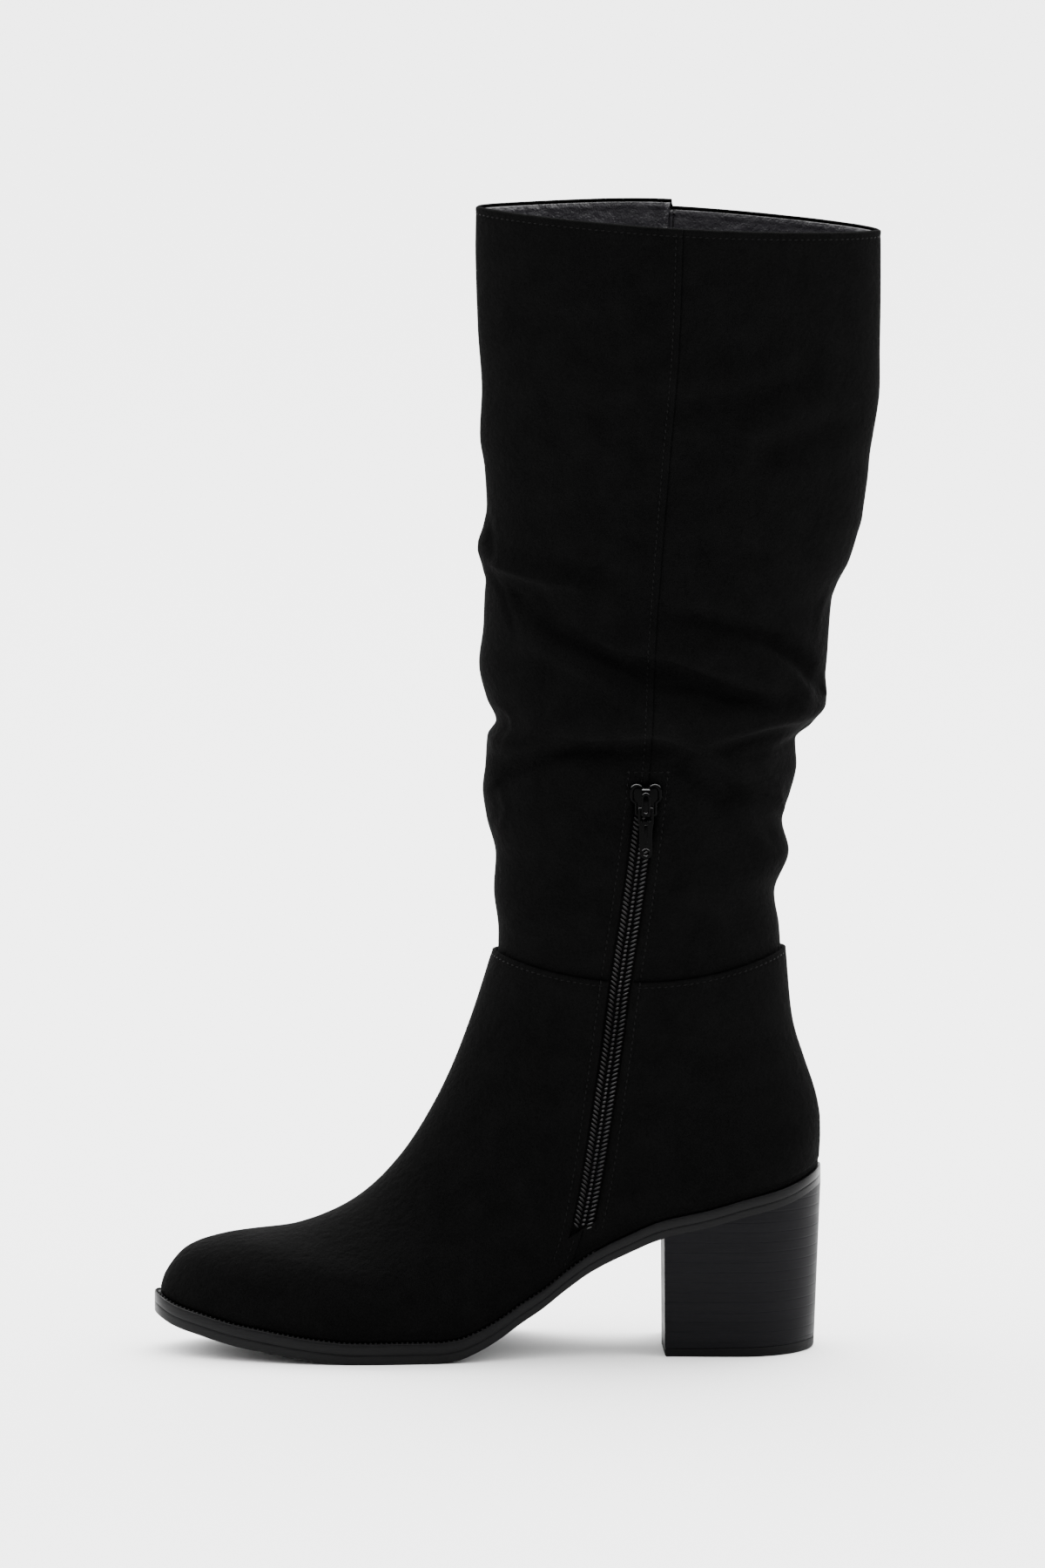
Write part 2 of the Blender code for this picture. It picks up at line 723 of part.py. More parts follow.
def flat_piece(name: str, outlines: Sequence[Sequence[tuple[float, float]]], depth: float, frame: Matrix):
    """Mesh of a flat outline, with any holes, as thick as depth and placed by a frame."""
    curve = bpy.data.curves.new(name, "CURVE")
    curve.dimensions = "2D"
    curve.fill_mode = "BOTH"
    curve.extrude = depth / 2
    for outline in outlines:
        spline = curve.splines.new("POLY")
        spline.points.add(len(outline) - 1)
        spline.use_cyclic_u = True
        for point, (across, up) in zip(spline.points, outline):
            point.co = (across, up, 0, 1)
    guide = bpy.data.objects.new(name + "_outline", curve)
    bpy.context.scene.collection.objects.link(guide)
    bpy.context.view_layer.update()
    mesh = bpy.data.meshes.new_from_object(guide.evaluated_get(bpy.context.evaluated_depsgraph_get()))
    mesh.transform(frame)
    bpy.data.objects.remove(guide)
    form = bmesh.new()
    form.from_mesh(mesh)
    bmesh.ops.remove_doubles(form, verts=form.verts, dist=1e-6)
    bpy.data.meshes.remove(mesh)
    return mesh_from(name, form)


def box_mesh(name: str, size: tuple[float, float, float], centre: Vector):
    """Box of a size about a centre."""
    form = bmesh.new()
    place = Matrix.Translation(centre) @ Matrix.Diagonal((*size, 1))
    bmesh.ops.create_cube(form, size=1, matrix=place)
    return mesh_from(name, form)


def join_union(item, pieces: Sequence, cutters) -> None:
    """Join further meshes to an object with Boolean unions."""
    for index, mesh in enumerate(pieces):
        tool = bpy.data.objects.new(f"{item.name}_tool_{index}", mesh)
        tool.hide_render = True
        tool.display_type = "WIRE"
        cutters.objects.link(tool)
        union = item.modifiers.new("join", "BOOLEAN")
        union.operation = "UNION"
        union.solver = "EXACT"
        union.object = tool


def arc(centre: tuple[float, float], radius: float, start: float, end: float, steps: int) -> list:
    """Points of an arc, both ends included, with angles in degrees."""
    turns = [math.radians(start + (end - start) * step / steps) for step in range(steps + 1)]
    return [(centre[0] + radius * math.cos(turn), centre[1] + radius * math.sin(turn)) for turn in turns]


def slider_place() -> Vector:
    """Point on the shaft's outer face behind the middle of the zip's slider."""
    z = ZIP_TOP - SLIDER_DROP
    row = seam_row(shaft_point, 0, 1, z)
    proud = min(
        shaft_point(seam_row(shaft_point, 0, 1, z + rise), seam_angle(shaft_point, row, offset)).y
        for rise in (-SLIDER_LENGTH / 2, 0, SLIDER_LENGTH / 2)
        for offset in (-SLIDER_WIDTH / 2, 0, SLIDER_WIDTH / 2)
    )
    return Vector((zip_x(z), proud, z))


def hinge_place(middle: Vector) -> Vector:
    """Axis of the pull: the centre of the bar that runs under the slider's bridge."""
    out = FIT_GAP + SLIDER_PLATE + BRIDGE_SPACE / 2
    down = SLIDER_LENGTH / 2 - BRIDGE_BAR - FIT_GAP * 2 - PULL_BAR
    return middle + Vector((0, -out, -down))


def make_slider(middle: Vector, tape_y: float, material, parts, cutters) -> None:
    """Zip slider: a tapered plate, the neck behind it and the bridge that holds the pull."""
    shoulder = SLIDER_WIDTH / 2
    foot = SLIDER_FOOT_WIDTH / 2
    half = SLIDER_LENGTH / 2
    edge = SLIDER_WIDTH / 8
    outline = arc((shoulder - edge, half - edge), edge, 0, 90, 4)
    outline += arc((edge - shoulder, half - edge), edge, 90, 180, 4)
    outline += arc((edge - foot, edge - half), edge, 190, 270, 4)
    outline += arc((foot - edge, edge - half), edge, 270, 350, 4)
    facing = Matrix.Rotation(math.radians(90), 4, "X")
    plate_y = middle.y - FIT_GAP - SLIDER_PLATE / 2
    frame = Matrix.Translation((middle.x, plate_y, middle.z)) @ facing
    item = add_object("zip_slider", flat_piece("zip_slider", [outline], SLIDER_PLATE, frame), material, parts)
    neck_depth = tape_y - FIT_GAP - plate_y
    neck_centre = Vector((middle.x, plate_y + neck_depth / 2, middle.z))
    neck = box_mesh("slider_neck", (NECK_WIDTH, neck_depth, SLIDER_LENGTH * 0.55), neck_centre)
    low = BRIDGE_SPACE
    tall = BRIDGE_SPACE + BRIDGE_BAR
    sink = -SLIDER_PLATE / 2
    bridge = [(-half, sink), (-half, tall - BRIDGE_BAR / 2), (BRIDGE_BAR / 2 - half, tall)]
    bridge += [(half / 3, tall), (half - BRIDGE_BAR, sink), (half - 2.4 * BRIDGE_BAR, sink)]
    bridge += [(half / 3 - BRIDGE_BAR, low), (BRIDGE_BAR - half, low), (BRIDGE_BAR - half, sink)]
    side_on = Matrix(((0, 0, 1, 0), (0, -1, 0, 0), (1, 0, 0, 0), (0, 0, 0, 1)))
    bridge_place = Matrix.Translation((middle.x, middle.y - FIT_GAP - SLIDER_PLATE, middle.z)) @ side_on
    arch = flat_piece("slider_bridge", [bridge], BRIDGE_WIDTH, bridge_place)
    join_union(item, [neck, arch], cutters)


def make_pull(axis: Vector, material, parts) -> None:
    """Pull tab, which hangs from the slider's bridge and swings on its own top bar."""
    wide = PULL_WIDTH / 2
    corner = PULL_BAR / 2
    top = PULL_BAR / 2
    bottom = top - PULL_LENGTH
    neck = PULL_BAR / 2 + PULL_WINDOW_LENGTH
    tip = wide * 0.8
    outline = arc((wide - corner, top - corner), corner, 0, 90, 3)
    outline += arc((corner - wide, top - corner), corner, 90, 180, 3)
    outline += [(-wide, -neck), (-wide * 0.86, -neck * 1.6)]
    outline += arc((0, bottom + tip), tip, 180, 360, 10)
    outline += [(wide * 0.86, -neck * 1.6), (wide, -neck)]
    inside = PULL_WINDOW_WIDTH / 2
    window = [(inside, -PULL_BAR / 2), (-inside, -PULL_BAR / 2), (-inside, -neck), (inside, -neck)]
    hole = arc((0, bottom + tip), PULL_HOLE_RADIUS, 0, 330, 11)
    facing = Matrix.Rotation(math.radians(90), 4, "X")
    mesh = flat_piece("zip_pull", [outline, window, hole], PULL_THICKNESS, facing)
    item = add_object("zip_pull", mesh, material, parts)
    item.location = axis


def main() -> None:
    """Build every sub-part of the boot."""
    for item in list(bpy.data.objects):
        bpy.data.objects.remove(item, do_unlink=True)
    parts = bpy.data.collections.new("slouch_boot")
    cutters = bpy.data.collections.new("cutters")
    bpy.context.scene.collection.children.link(parts)
    bpy.context.scene.collection.children.link(cutters)

    suede = make_material("black_suede", (0.0045, 0.0045, 0.0050), 0.90, 0.0)
    edge = make_material("sole_edge", (0.020, 0.020, 0.022), 0.55, 0.0)
    stack = make_material("heel_stack", (0.024, 0.024, 0.026), 0.50, 0.0)
    rubber = make_material("heel_rubber", (0.012, 0.012, 0.013), 0.65, 0.0)
    sock = make_material("insole_lining", (0.070, 0.066, 0.074), 0.55, 0.0)
    tape = make_material("zip_tape", (0.010, 0.010, 0.011), 0.85, 0.0)
    coil = make_material("zip_coil", (0.018, 0.018, 0.020), 0.45, 0.0)
    enamel = make_material("black_enamel", (0.008, 0.008, 0.009), 0.22, 0.6)

    outsole = sole_slab("outsole", lambda x: 0, underside, layer_joint)
    add_object("outsole", outsole, edge, parts)
    midsole = sole_slab("midsole", lambda x: 0, lambda x: layer_joint(x) + FIT_GAP, sole_top)
    add_object("midsole", midsole, edge, parts)
    insole = sole_slab(
        "insole",
        lambda x: margin(x) + UPPER_WALL + INSOLE_CLEARANCE,
        lambda x: sole_top(x) + FIT_GAP,
        lambda x: sole_top(x) + FIT_GAP + INSOLE_THICKNESS,
    )
    add_object("insole", insole, sock, parts)
    add_object("heel", heel_slab("heel", TOP_LIFT + FIT_GAP, None), stack, parts)
    add_object("top_lift", heel_slab("top_lift", 0, TOP_LIFT), rubber, parts)

    last_row = len(UPPER_RINGS) - 1
    zip_low = seam_row(upper_point, 0, last_row, ZIP_BOTTOM)
    zip_high = seam_row(shaft_point, 0, 1, ZIP_TOP)
    upper_rows = [-1.0] + with_row(UPPER_ROWS, zip_low)
    shaft_rows = spaced(0, 0.2, 6) + spaced(0.2, 0.56, 19) + spaced(0.56, 1, 8) + [1.0]
    shaft_rows = [-LAP_ROWS] + with_row(shaft_rows, zip_high)

    upper_mesh = skin_mesh("upper", upper_point, upper_rows, (zip_low, last_row), UPPER_COLUMNS)
    add_wall(add_object("upper", upper_mesh, suede, parts), UPPER_WALL)
    shaft_mesh = skin_mesh("shaft", shaft_point, shaft_rows, (-LAP_ROWS, zip_high), SHAFT_COLUMNS)
    add_wall(add_object("shaft", shaft_mesh, suede, parts), SHAFT_WALL)

    middle = slider_place()
    rows = zip_rows(upper_rows, shaft_rows)
    add_object("zip_tape", zip_strip("zip_tape", rows, TAPE_EDGES, 0, -TAPE_THICKNESS), tape, parts)
    coil_high = seam_row(shaft_point, 0, 1, middle.z - SLIDER_LENGTH / 2 - FIT_GAP)
    coil_low = seam_row(upper_point, 0, last_row, ZIP_BOTTOM + FIT_GAP)
    coil_rows = [(upper_point, coil_low, UPPER_WALL + SOFT_GAP)]
    coil_rows += [entry for entry in rows if entry[0] is upper_point and entry[1] > coil_low]
    coil_rows += [entry for entry in rows if entry[0] is shaft_point and entry[1] < coil_high]
    coil_rows += [(shaft_point, coil_high, SHAFT_WALL + SOFT_GAP)]
    coil_mesh = zip_strip("zip_coil", coil_rows, COIL_EDGES, FIT_GAP + COIL_THICKNESS, FIT_GAP)
    add_object("zip_coil", coil_mesh, coil, parts)

    slider_row = seam_row(shaft_point, 0, 1, middle.z)
    slider_angle = seam_angle(shaft_point, slider_row, 0)
    behind = outward(shaft_point, slider_row, slider_angle) * (SHAFT_WALL + SOFT_GAP)
    tape_y = (shaft_point(slider_row, slider_angle) - behind).y
    make_slider(middle, tape_y, enamel, parts, cutters)
    make_pull(hinge_place(middle), enamel, parts)


main()
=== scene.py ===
"""Looks of a slouch boot for the right foot, in black microsuede with a block heel.

Metres, +Z up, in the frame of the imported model: the toe points to -X, the inner (zip)
side faces -Y, and the origin is the centre of the heel's resting face.
"""
import json
import logging
import math
from dataclasses import dataclass, field
from enum import Enum
from typing import Callable, NamedTuple, Sequence

import bmesh
import bpy
import numpy as np
from mathutils import Matrix, Vector


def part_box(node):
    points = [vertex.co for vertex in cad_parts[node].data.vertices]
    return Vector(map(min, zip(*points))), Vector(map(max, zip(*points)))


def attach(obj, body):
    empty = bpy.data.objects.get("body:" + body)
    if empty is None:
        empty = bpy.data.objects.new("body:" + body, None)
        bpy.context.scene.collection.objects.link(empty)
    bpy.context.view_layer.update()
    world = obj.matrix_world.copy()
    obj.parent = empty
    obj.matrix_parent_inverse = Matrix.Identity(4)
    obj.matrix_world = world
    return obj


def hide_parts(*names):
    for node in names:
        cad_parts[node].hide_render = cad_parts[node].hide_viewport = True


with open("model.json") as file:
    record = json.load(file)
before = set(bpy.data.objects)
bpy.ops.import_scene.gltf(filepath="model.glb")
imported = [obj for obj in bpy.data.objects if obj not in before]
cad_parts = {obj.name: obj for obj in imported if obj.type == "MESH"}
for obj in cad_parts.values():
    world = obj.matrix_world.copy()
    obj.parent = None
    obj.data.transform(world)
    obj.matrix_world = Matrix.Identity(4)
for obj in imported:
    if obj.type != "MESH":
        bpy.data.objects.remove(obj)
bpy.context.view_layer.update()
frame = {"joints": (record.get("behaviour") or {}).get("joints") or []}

LOG = logging.getLogger("slouch_boot")
BOOT = "boot"
PULL = "zip_pull"
MM = 0.001
FIT_GAP = 0.0003
SWEEP_STEPS = 120
LAP_ROWS = 0.33
MERGE = 2e-6
SOLE_CRISP = 50
# Shape of a crease: how soon an overhang's roll turns over and how far it reaches up, and the
# depth and place of the hollows beside a ridge, all as shares of its height or breadth
ROLL_TURN = 0.65
ROLL_REACH = 4.2
RIDGE_FLANK = 0.30
RIDGE_FLANK_PLACE = 2.1
ENAMEL_CRISP = 55

Array = np.ndarray
Form = Callable[[Array, Array], Array]


class Slot(Enum):
    """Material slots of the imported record."""

    SUEDE = "suede"
    EDGE = "sole_edge"
    STACK = "heel_stack"
    RUBBER = "heel_rubber"
    LINING = "insole_lining"
    TAPE = "zip_tape"
    COIL = "zip_coil"
    ENAMEL = "black_enamel"


class SideRow(NamedTuple):
    """Height of the sole's underside at one place along it, as a share."""

    along: float
    rise: float


class OutlineRow(NamedTuple):
    """Half-widths of the sole, as shares of the ball width."""

    along: float
    inner: float
    outer: float


class Ring(NamedTuple):
    """One ring of the upper: set-backs and rises as shares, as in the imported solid."""

    front: float
    front_rise: float
    side_rise: float
    back: float
    back_rise: float
    ankle: float
    toe_cap: float
    back_cap: float
    swell: float


class ShaftRow(NamedTuple):
    """Slouch of the shaft's front and back lines, as shares of the collar's depth."""

    up: float
    front: float
    back: float


class GirthRow(NamedTuple):
    """Extra half-width of the shaft, a share of the collar's width, and its roundness."""

    up: float
    extra: float
    roundness: float


class Fold(NamedTuple):
    """A large soft ridge or trough: share of the fold depth, breadth share, path round the leg."""

    depth: float
    breadth: float
    path: tuple[tuple[float, float], ...]


class SeamRow(NamedTuple):
    """Place of the zip and of the seam above it, along the sole, at one height."""

    height: float
    along: float


class Shape(Enum):
    """Cross-section of a crease: one soft ridge or trough, or a ridge over a trough."""

    RIDGE = "ridge"
    OVERHANG = "overhang"


class Crease(NamedTuple):
    """A finer crease on one side of the leg.

    depth is above 0 for a ridge and below 0 for a trough, and breadth is its half-width,
    both in millimetres. path holds places (x, z) in millimetres, front to back, seen from
    the side.
    """

    shape: Shape
    depth: float
    breadth: float
    path: tuple[tuple[float, float], ...]


def table(kind: Callable, *rows: tuple[float, ...]) -> tuple:
    """Named rows of a table from plain tuples."""
    return tuple(kind(*row) for row in rows)


def ridge(depth: float, breadth: float, *path: tuple[float, float]) -> Crease:
    """One soft ridge, or a trough where its depth is below 0."""
    return Crease(Shape.RIDGE, depth, breadth, path)


def overhang(depth: float, breadth: float, *path: tuple[float, float]) -> Crease:
    """A ridge that hangs over a trough."""
    return Crease(Shape.OVERHANG, depth, breadth, path)


TOE_SIDE = table(
    SideRow,
    (0.00, 1.000), (0.03, 0.770), (0.07, 0.600), (0.12, 0.400), (0.165, 0.275), (0.21, 0.150),
    (0.25, 0.065), (0.30, 0.000), (0.43, 0.000),
)
ARCH_SIDE = table(
    SideRow,
    (0.43, 0.000), (0.455, 0.016), (0.487, 0.066), (0.52, 0.139), (0.55, 0.222), (0.585, 0.312),
    (0.615, 0.406), (0.655, 0.519), (0.71, 0.630), (0.76, 0.717), (0.83, 0.784), (0.89, 0.855),
    (0.95, 0.916), (1.00, 1.000),
)
WAIST_BLEND = table(SideRow, (0.42, 0.0), (0.60, 1.0))
SOLE_OUTLINE = table(
    OutlineRow,
    (0.00, 0.470, 0.420), (0.15, 0.505, 0.450), (0.30, 0.520, 0.475), (0.40, 0.505, 0.490),
    (0.47, 0.475, 0.480), (0.55, 0.400, 0.430), (0.62, 0.345, 0.385), (0.70, 0.325, 0.355),
    (0.78, 0.335, 0.345), (0.86, 0.345, 0.345), (1.00, 0.345, 0.345),
)
UPPER_RINGS = table(
    Ring,
    (0.0000, 0.000, 0.000, 0.0000, 0.000, 0.00, 0.35, 0.12, 0.00),
    (0.0051, 0.036, 0.028, -0.0016, 0.008, 0.00, 0.35, 0.12, 0.50),
    (0.0336, 0.128, 0.071, -0.0027, 0.057, 0.00, 0.36, 0.13, 0.88),
    (0.1001, 0.200, 0.124, -0.0035, 0.117, 0.00, 0.38, 0.15, 1.00),
    (0.2016, 0.245, 0.193, -0.0031, 0.191, 0.15, 0.42, 0.20, 0.62),
    (0.2916, 0.325, 0.273, 0.0000, 0.264, 0.35, 0.46, 0.27, 0.00),
    (0.3656, 0.454, 0.392, 0.0071, 0.355, 0.60, 0.50, 0.35, 0.00),
    (0.4273, 0.643, 0.541, 0.0207, 0.488, 0.80, 0.50, 0.43, 0.00),
    (0.4686, 0.828, 0.751, 0.0391, 0.691, 0.95, 0.50, 0.50, 0.00),
    (0.4986, 1.000, 1.000, 0.0489, 1.000, 1.00, 0.50, 0.50, 0.00),
)
SHAFT_LINES = table(
    ShaftRow,
    (0.000, 0.000, 0.000), (0.030, 0.002, -0.011), (0.080, -0.006, -0.034), (0.130, 0.001, -0.012),
    (0.180, -0.019, -0.040), (0.215, -0.026, -0.030), (0.250, -0.017, -0.022),
    (0.290, -0.010, -0.034), (0.310, 0.012, 0.003), (0.340, -0.010, 0.029), (0.385, -0.026, 0.016),
    (0.435, -0.013, 0.011), (0.485, -0.006, 0.007), (0.505, 0.002, 0.014), (0.540, -0.022, 0.037),
    (0.575, -0.003, 0.048), (0.600, 0.005, 0.054), (0.650, 0.002, 0.054), (0.690, -0.007, 0.051),
    (0.760, 0.001, 0.054), (0.835, -0.004, 0.039), (0.920, -0.005, 0.020), (1.000, 0.000, 0.000),
)
SHAFT_GIRTH = table(
    GirthRow,
    (0.00, 0.000, 2.00), (0.08, 0.000, 1.99), (0.18, 0.007, 1.97), (0.25, 0.013, 1.96),
    (0.31, 0.046, 1.95), (0.385, 0.046, 1.92), (0.50, 0.033, 1.86), (0.60, 0.026, 1.80),
    (0.80, 0.013, 1.70), (1.00, 0.000, 1.60),
)
FOLDS = (
    Fold(-1.00, 0.0140, ((30, 0.262), (62, 0.304), (94, 0.309), (121, 0.240))),
    Fold(0.83, 0.0185, ((25, 0.286), (60, 0.341), (90, 0.351), (115, 0.316), (140, 0.286))),
    Fold(-0.87, 0.0130, ((46, 0.492), (64, 0.453), (78, 0.421), (90, 0.414), (113, 0.382), (134, 0.362))),
    Fold(0.73, 0.0120, ((52, 0.436), (70, 0.413), (84, 0.382), (92, 0.366), (113, 0.352), (137, 0.352))),
    Fold(-0.67, 0.0120, ((97, 0.488), (113, 0.476), (130, 0.452), (144, 0.422), (160, 0.376))),
    Fold(0.60, 0.0105, ((113, 0.445), (137, 0.412), (152, 0.370))),
    Fold(-0.53, 0.0105, ((23, 0.557), (46, 0.560), (67, 0.540))),
    Fold(0.60, 0.0095, ((10, 0.510), (34, 0.526), (54, 0.515), (72, 0.505))),
    Fold(-1.00, 0.0095, ((118, 0.310), (133, 0.312), (152, 0.311), (170, 0.307))),
    Fold(-1.00, 0.0140, ((200, 0.250), (240, 0.300), (280, 0.310), (320, 0.260))),
    Fold(0.83, 0.0185, ((205, 0.300), (250, 0.350), (290, 0.355), (330, 0.300))),
    Fold(-0.87, 0.0130, ((215, 0.470), (250, 0.430), (290, 0.400), (325, 0.370))),
    Fold(0.73, 0.0120, ((215, 0.420), (250, 0.385), (290, 0.360), (330, 0.330))),
    Fold(-0.50, 0.0110, ((225, 0.550), (260, 0.520), (300, 0.530))),
)
ZIP_LINE = table(
    SeamRow,
    (0.0750, 0.6216), (0.1140, 0.6423), (0.2450, 0.6790), (0.3310, 0.6986), (0.3990, 0.7162),
    (0.5015, 0.7377), (0.5470, 0.7440), (0.6130, 0.7480), (0.6850, 0.7560), (0.7715, 0.7674),
    (0.8985, 0.7846), (0.9916, 0.7897),
)

# Creases of the inner side, as the boot shows them, front (x about -95) to back
INNER_CREASES = (
    overhang(
        1.65, 2.9, (-90, 223), (-84, 230), (-74, 236), (-63, 239), (-49, 240), (-34, 241), (-24, 239),
        (-16, 235), (-8, 230), (1, 222), (9, 217),
    ),
    overhang(
        1.7, 2.9, (-81, 293), (-73, 287), (-64, 281), (-56, 277), (-46, 274), (-34, 272), (-24, 270),
        (-14, 266), (-3, 260), (9, 256), (19, 252),
    ),
    ridge(
        0.55, 1.8, (-74, 278), (-62, 274), (-51, 269), (-42, 264), (-38, 261), (-31, 258), (-18, 257),
        (-4, 254), (6, 253),
    ),
    overhang(1.5, 2.6, (-26, 292), (-13, 290), (1, 286), (11, 281), (21, 274), (27, 267), (31, 258)),
    ridge(1.0, 1.5, (-94, 305), (-88, 303), (-76, 301), (-64, 299), (-54, 298), (-48, 298)),
    overhang(1.05, 3.0, (-96, 311), (-83, 311), (-69, 309), (-58, 307)),
    overhang(0.7, 3.0, (-34, 272), (-20, 269), (-6, 263), (7, 258), (19, 253)),
    overhang(1.1, 1.6, (-6, 240), (1, 241), (11, 243), (22, 244)),
    ridge(0.45, 1.2, (1, 236), (7, 230), (15, 220)),
    ridge(0.4, 1.2, (-10, 238), (-4, 233), (3, 224)),
    ridge(-0.55, 1.3, (-96, 323), (-94, 315), (-95, 306)),
    ridge(-0.5, 1.2, (-96, 304), (-90, 294), (-85, 278)),
    ridge(0.45, 1.2, (-93, 252), (-87, 247), (-86, 242), (-90, 235)),
    ridge(0.45, 1.1, (-91, 218), (-89, 210), (-92, 201)),
    ridge(0.55, 1.1, (15, 220), (16, 212), (18, 206)),
    ridge(-0.7, 2.2, (7, 209), (11, 202), (15, 195)),
    ridge(0.45, 1.1, (34, 293), (31, 287), (29, 276)),
    ridge(0.6, 3.0, (-1, 279), (11, 269), (20, 259)),
    ridge(0.55, 4.0, (-16, 301), (1, 303), (12, 306), (29, 308)),
    ridge(-0.5, 4.0, (-24, 316), (-6, 317), (6, 312)),
    ridge(0.35, 4.0, (-21, 325), (-6, 327), (4, 324)),
    ridge(-0.4, 5.0, (-83, 328), (-69, 326), (-53, 328)),
    overhang(0.35, 2.4, (-83, 276), (-69, 268), (-56, 262)),
    ridge(-0.5, 2.0, (-3, 191), (1, 189), (6, 188)),
    ridge(-0.35, 1.6, (-85, 167), (-79, 169), (-72, 171)),
    ridge(0.3, 1.4, (-88, 164), (-82, 163), (-76, 162)),
    ridge(0.25, 3.0, (-76, 188), (-66, 188), (-53, 191)),
    ridge(-0.25, 4.0, (-83, 201), (-69, 200), (-56, 205)),
    ridge(0.25, 4.0, (-23, 205), (-9, 202), (4, 185)),
    ridge(-0.25, 5.0, (-16, 360), (4, 355), (24, 357)),
    ridge(0.25, 5.0, (-83, 365), (-66, 370), (-43, 366)),
    overhang(1.0, 2.4, (-19, 236), (-8, 229), (1, 223), (8, 217)),
    overhang(0.8, 2.4, (-34, 271), (-21, 268), (-9, 263), (1, 259)),
    ridge(1.6, 4.5, (-16, 375), (1, 379), (17, 382)),
    ridge(-1.9, 4.5, (-23, 367), (0, 373), (26, 379)),
    ridge(1.8, 4.5, (-4, 356), (11, 360), (26, 366)),
    ridge(-1.9, 5.0, (7, 348), (26, 354), (42, 360)),
    ridge(-1.3, 4.5, (-92, 399), (-71, 400), (-49, 399)),
    ridge(1.4, 5.5, (-83, 374), (-66, 378), (-49, 376)),
)
# Creases of the outer side, in the same manner
OUTER_CREASES = (
    overhang(1.70, 2.4, (-86, 224), (-70, 233), (-52, 238), (-34, 239), (-16, 234), (0, 224)),
    ridge(0.45, 2.0, (-82, 232), (-64, 241), (-40, 246), (-18, 242), (0, 234)),
    overhang(1.75, 1.9, (-84, 258), (-70, 263), (-52, 270), (-36, 276), (-18, 286)),
    ridge(0.50, 1.6, (-88, 249), (-70, 254), (-50, 260), (-34, 266)),
    overhang(1.80, 1.7, (24, 243), (12, 241), (0, 238)),
    ridge(-0.60, 2.4, (28, 262), (16, 270), (0, 276), (-14, 279)),
    ridge(0.50, 1.5, (-92, 312), (-78, 308), (-60, 303), (-46, 302)),
    ridge(-0.50, 2.0, (-92, 321), (-76, 315), (-58, 311)),
    ridge(0.45, 1.4, (26, 288), (16, 296), (2, 300)),
    ridge(-0.45, 1.6, (-90, 206), (-78, 212), (-64, 211)),
    ridge(0.40, 1.4, (16, 214), (8, 207), (-4, 204)),
    ridge(-0.35, 1.6, (-88, 168), (-76, 173), (-66, 172)),
    ridge(-0.30, 1.8, (12, 176), (0, 181), (-14, 179)),
    ridge(0.28, 1.6, (-50, 186), (-36, 190), (-22, 187)),
    ridge(-0.30, 3.0, (-70, 350), (-52, 345), (-36, 349)),
)


class Smooth:
    """Smooth curve through the rows of a table, which never overshoots them."""

    def __init__(self, places: Sequence[float], values: Sequence[float]) -> None:
        """Work out the slope at each row.

        Args:
            places: Rising places of the rows.
            values: Value at each place.
        """
        self.places = np.asarray(list(places), float)
        self.values = np.asarray(list(values), float)
        steps = np.diff(self.places)
        rates = np.diff(self.values) / steps
        before, after = rates[:-1], rates[1:]
        near = 2 * steps[1:] + steps[:-1]
        far = steps[1:] + 2 * steps[:-1]
        same = before * after > 0
        safe_before = np.where(same, before, 1)
        safe_after = np.where(same, after, 1)
        inner = np.where(same, (near + far) / (near / safe_before + far / safe_after), 0)
        self.slopes = np.concatenate(([rates[0]], inner, [rates[-1]]))

    def __call__(self, place: Array) -> Array:
        """Values at some places, held level beyond both ends."""
        place = np.clip(np.asarray(place, float), self.places[0], self.places[-1])
        index = np.clip(np.searchsorted(self.places, place, side="right") - 1, 0, len(self.places) - 2)
        step = self.places[index + 1] - self.places[index]
        part = (place - self.places[index]) / step
        rest = 1 - part
        return (
            self.values[index] * (1 + 2 * part) * rest * rest
            + self.slopes[index] * step * part * rest * rest
            + self.values[index + 1] * part * part * (3 - 2 * part)
            - self.slopes[index + 1] * step * part * part * rest
        )


def column(rows: Sequence[NamedTuple], key: str, value: str) -> Smooth:
    """Smooth curve of one named column of a table against another."""
    return Smooth([getattr(row, key) for row in rows], [getattr(row, value) for row in rows])


def bell(distance: Array, breadth: float) -> Array:
    """Soft bump of height 1 about a distance of 0."""
    return np.exp(-((distance / breadth) ** 2))


def ramp(value: Array, start: float, end: float) -> Array:
    """Smooth step from 0 at start to 1 at end."""
    part = np.clip((value - start) / (end - start), 0, 1)
    return part * part * (3 - 2 * part)


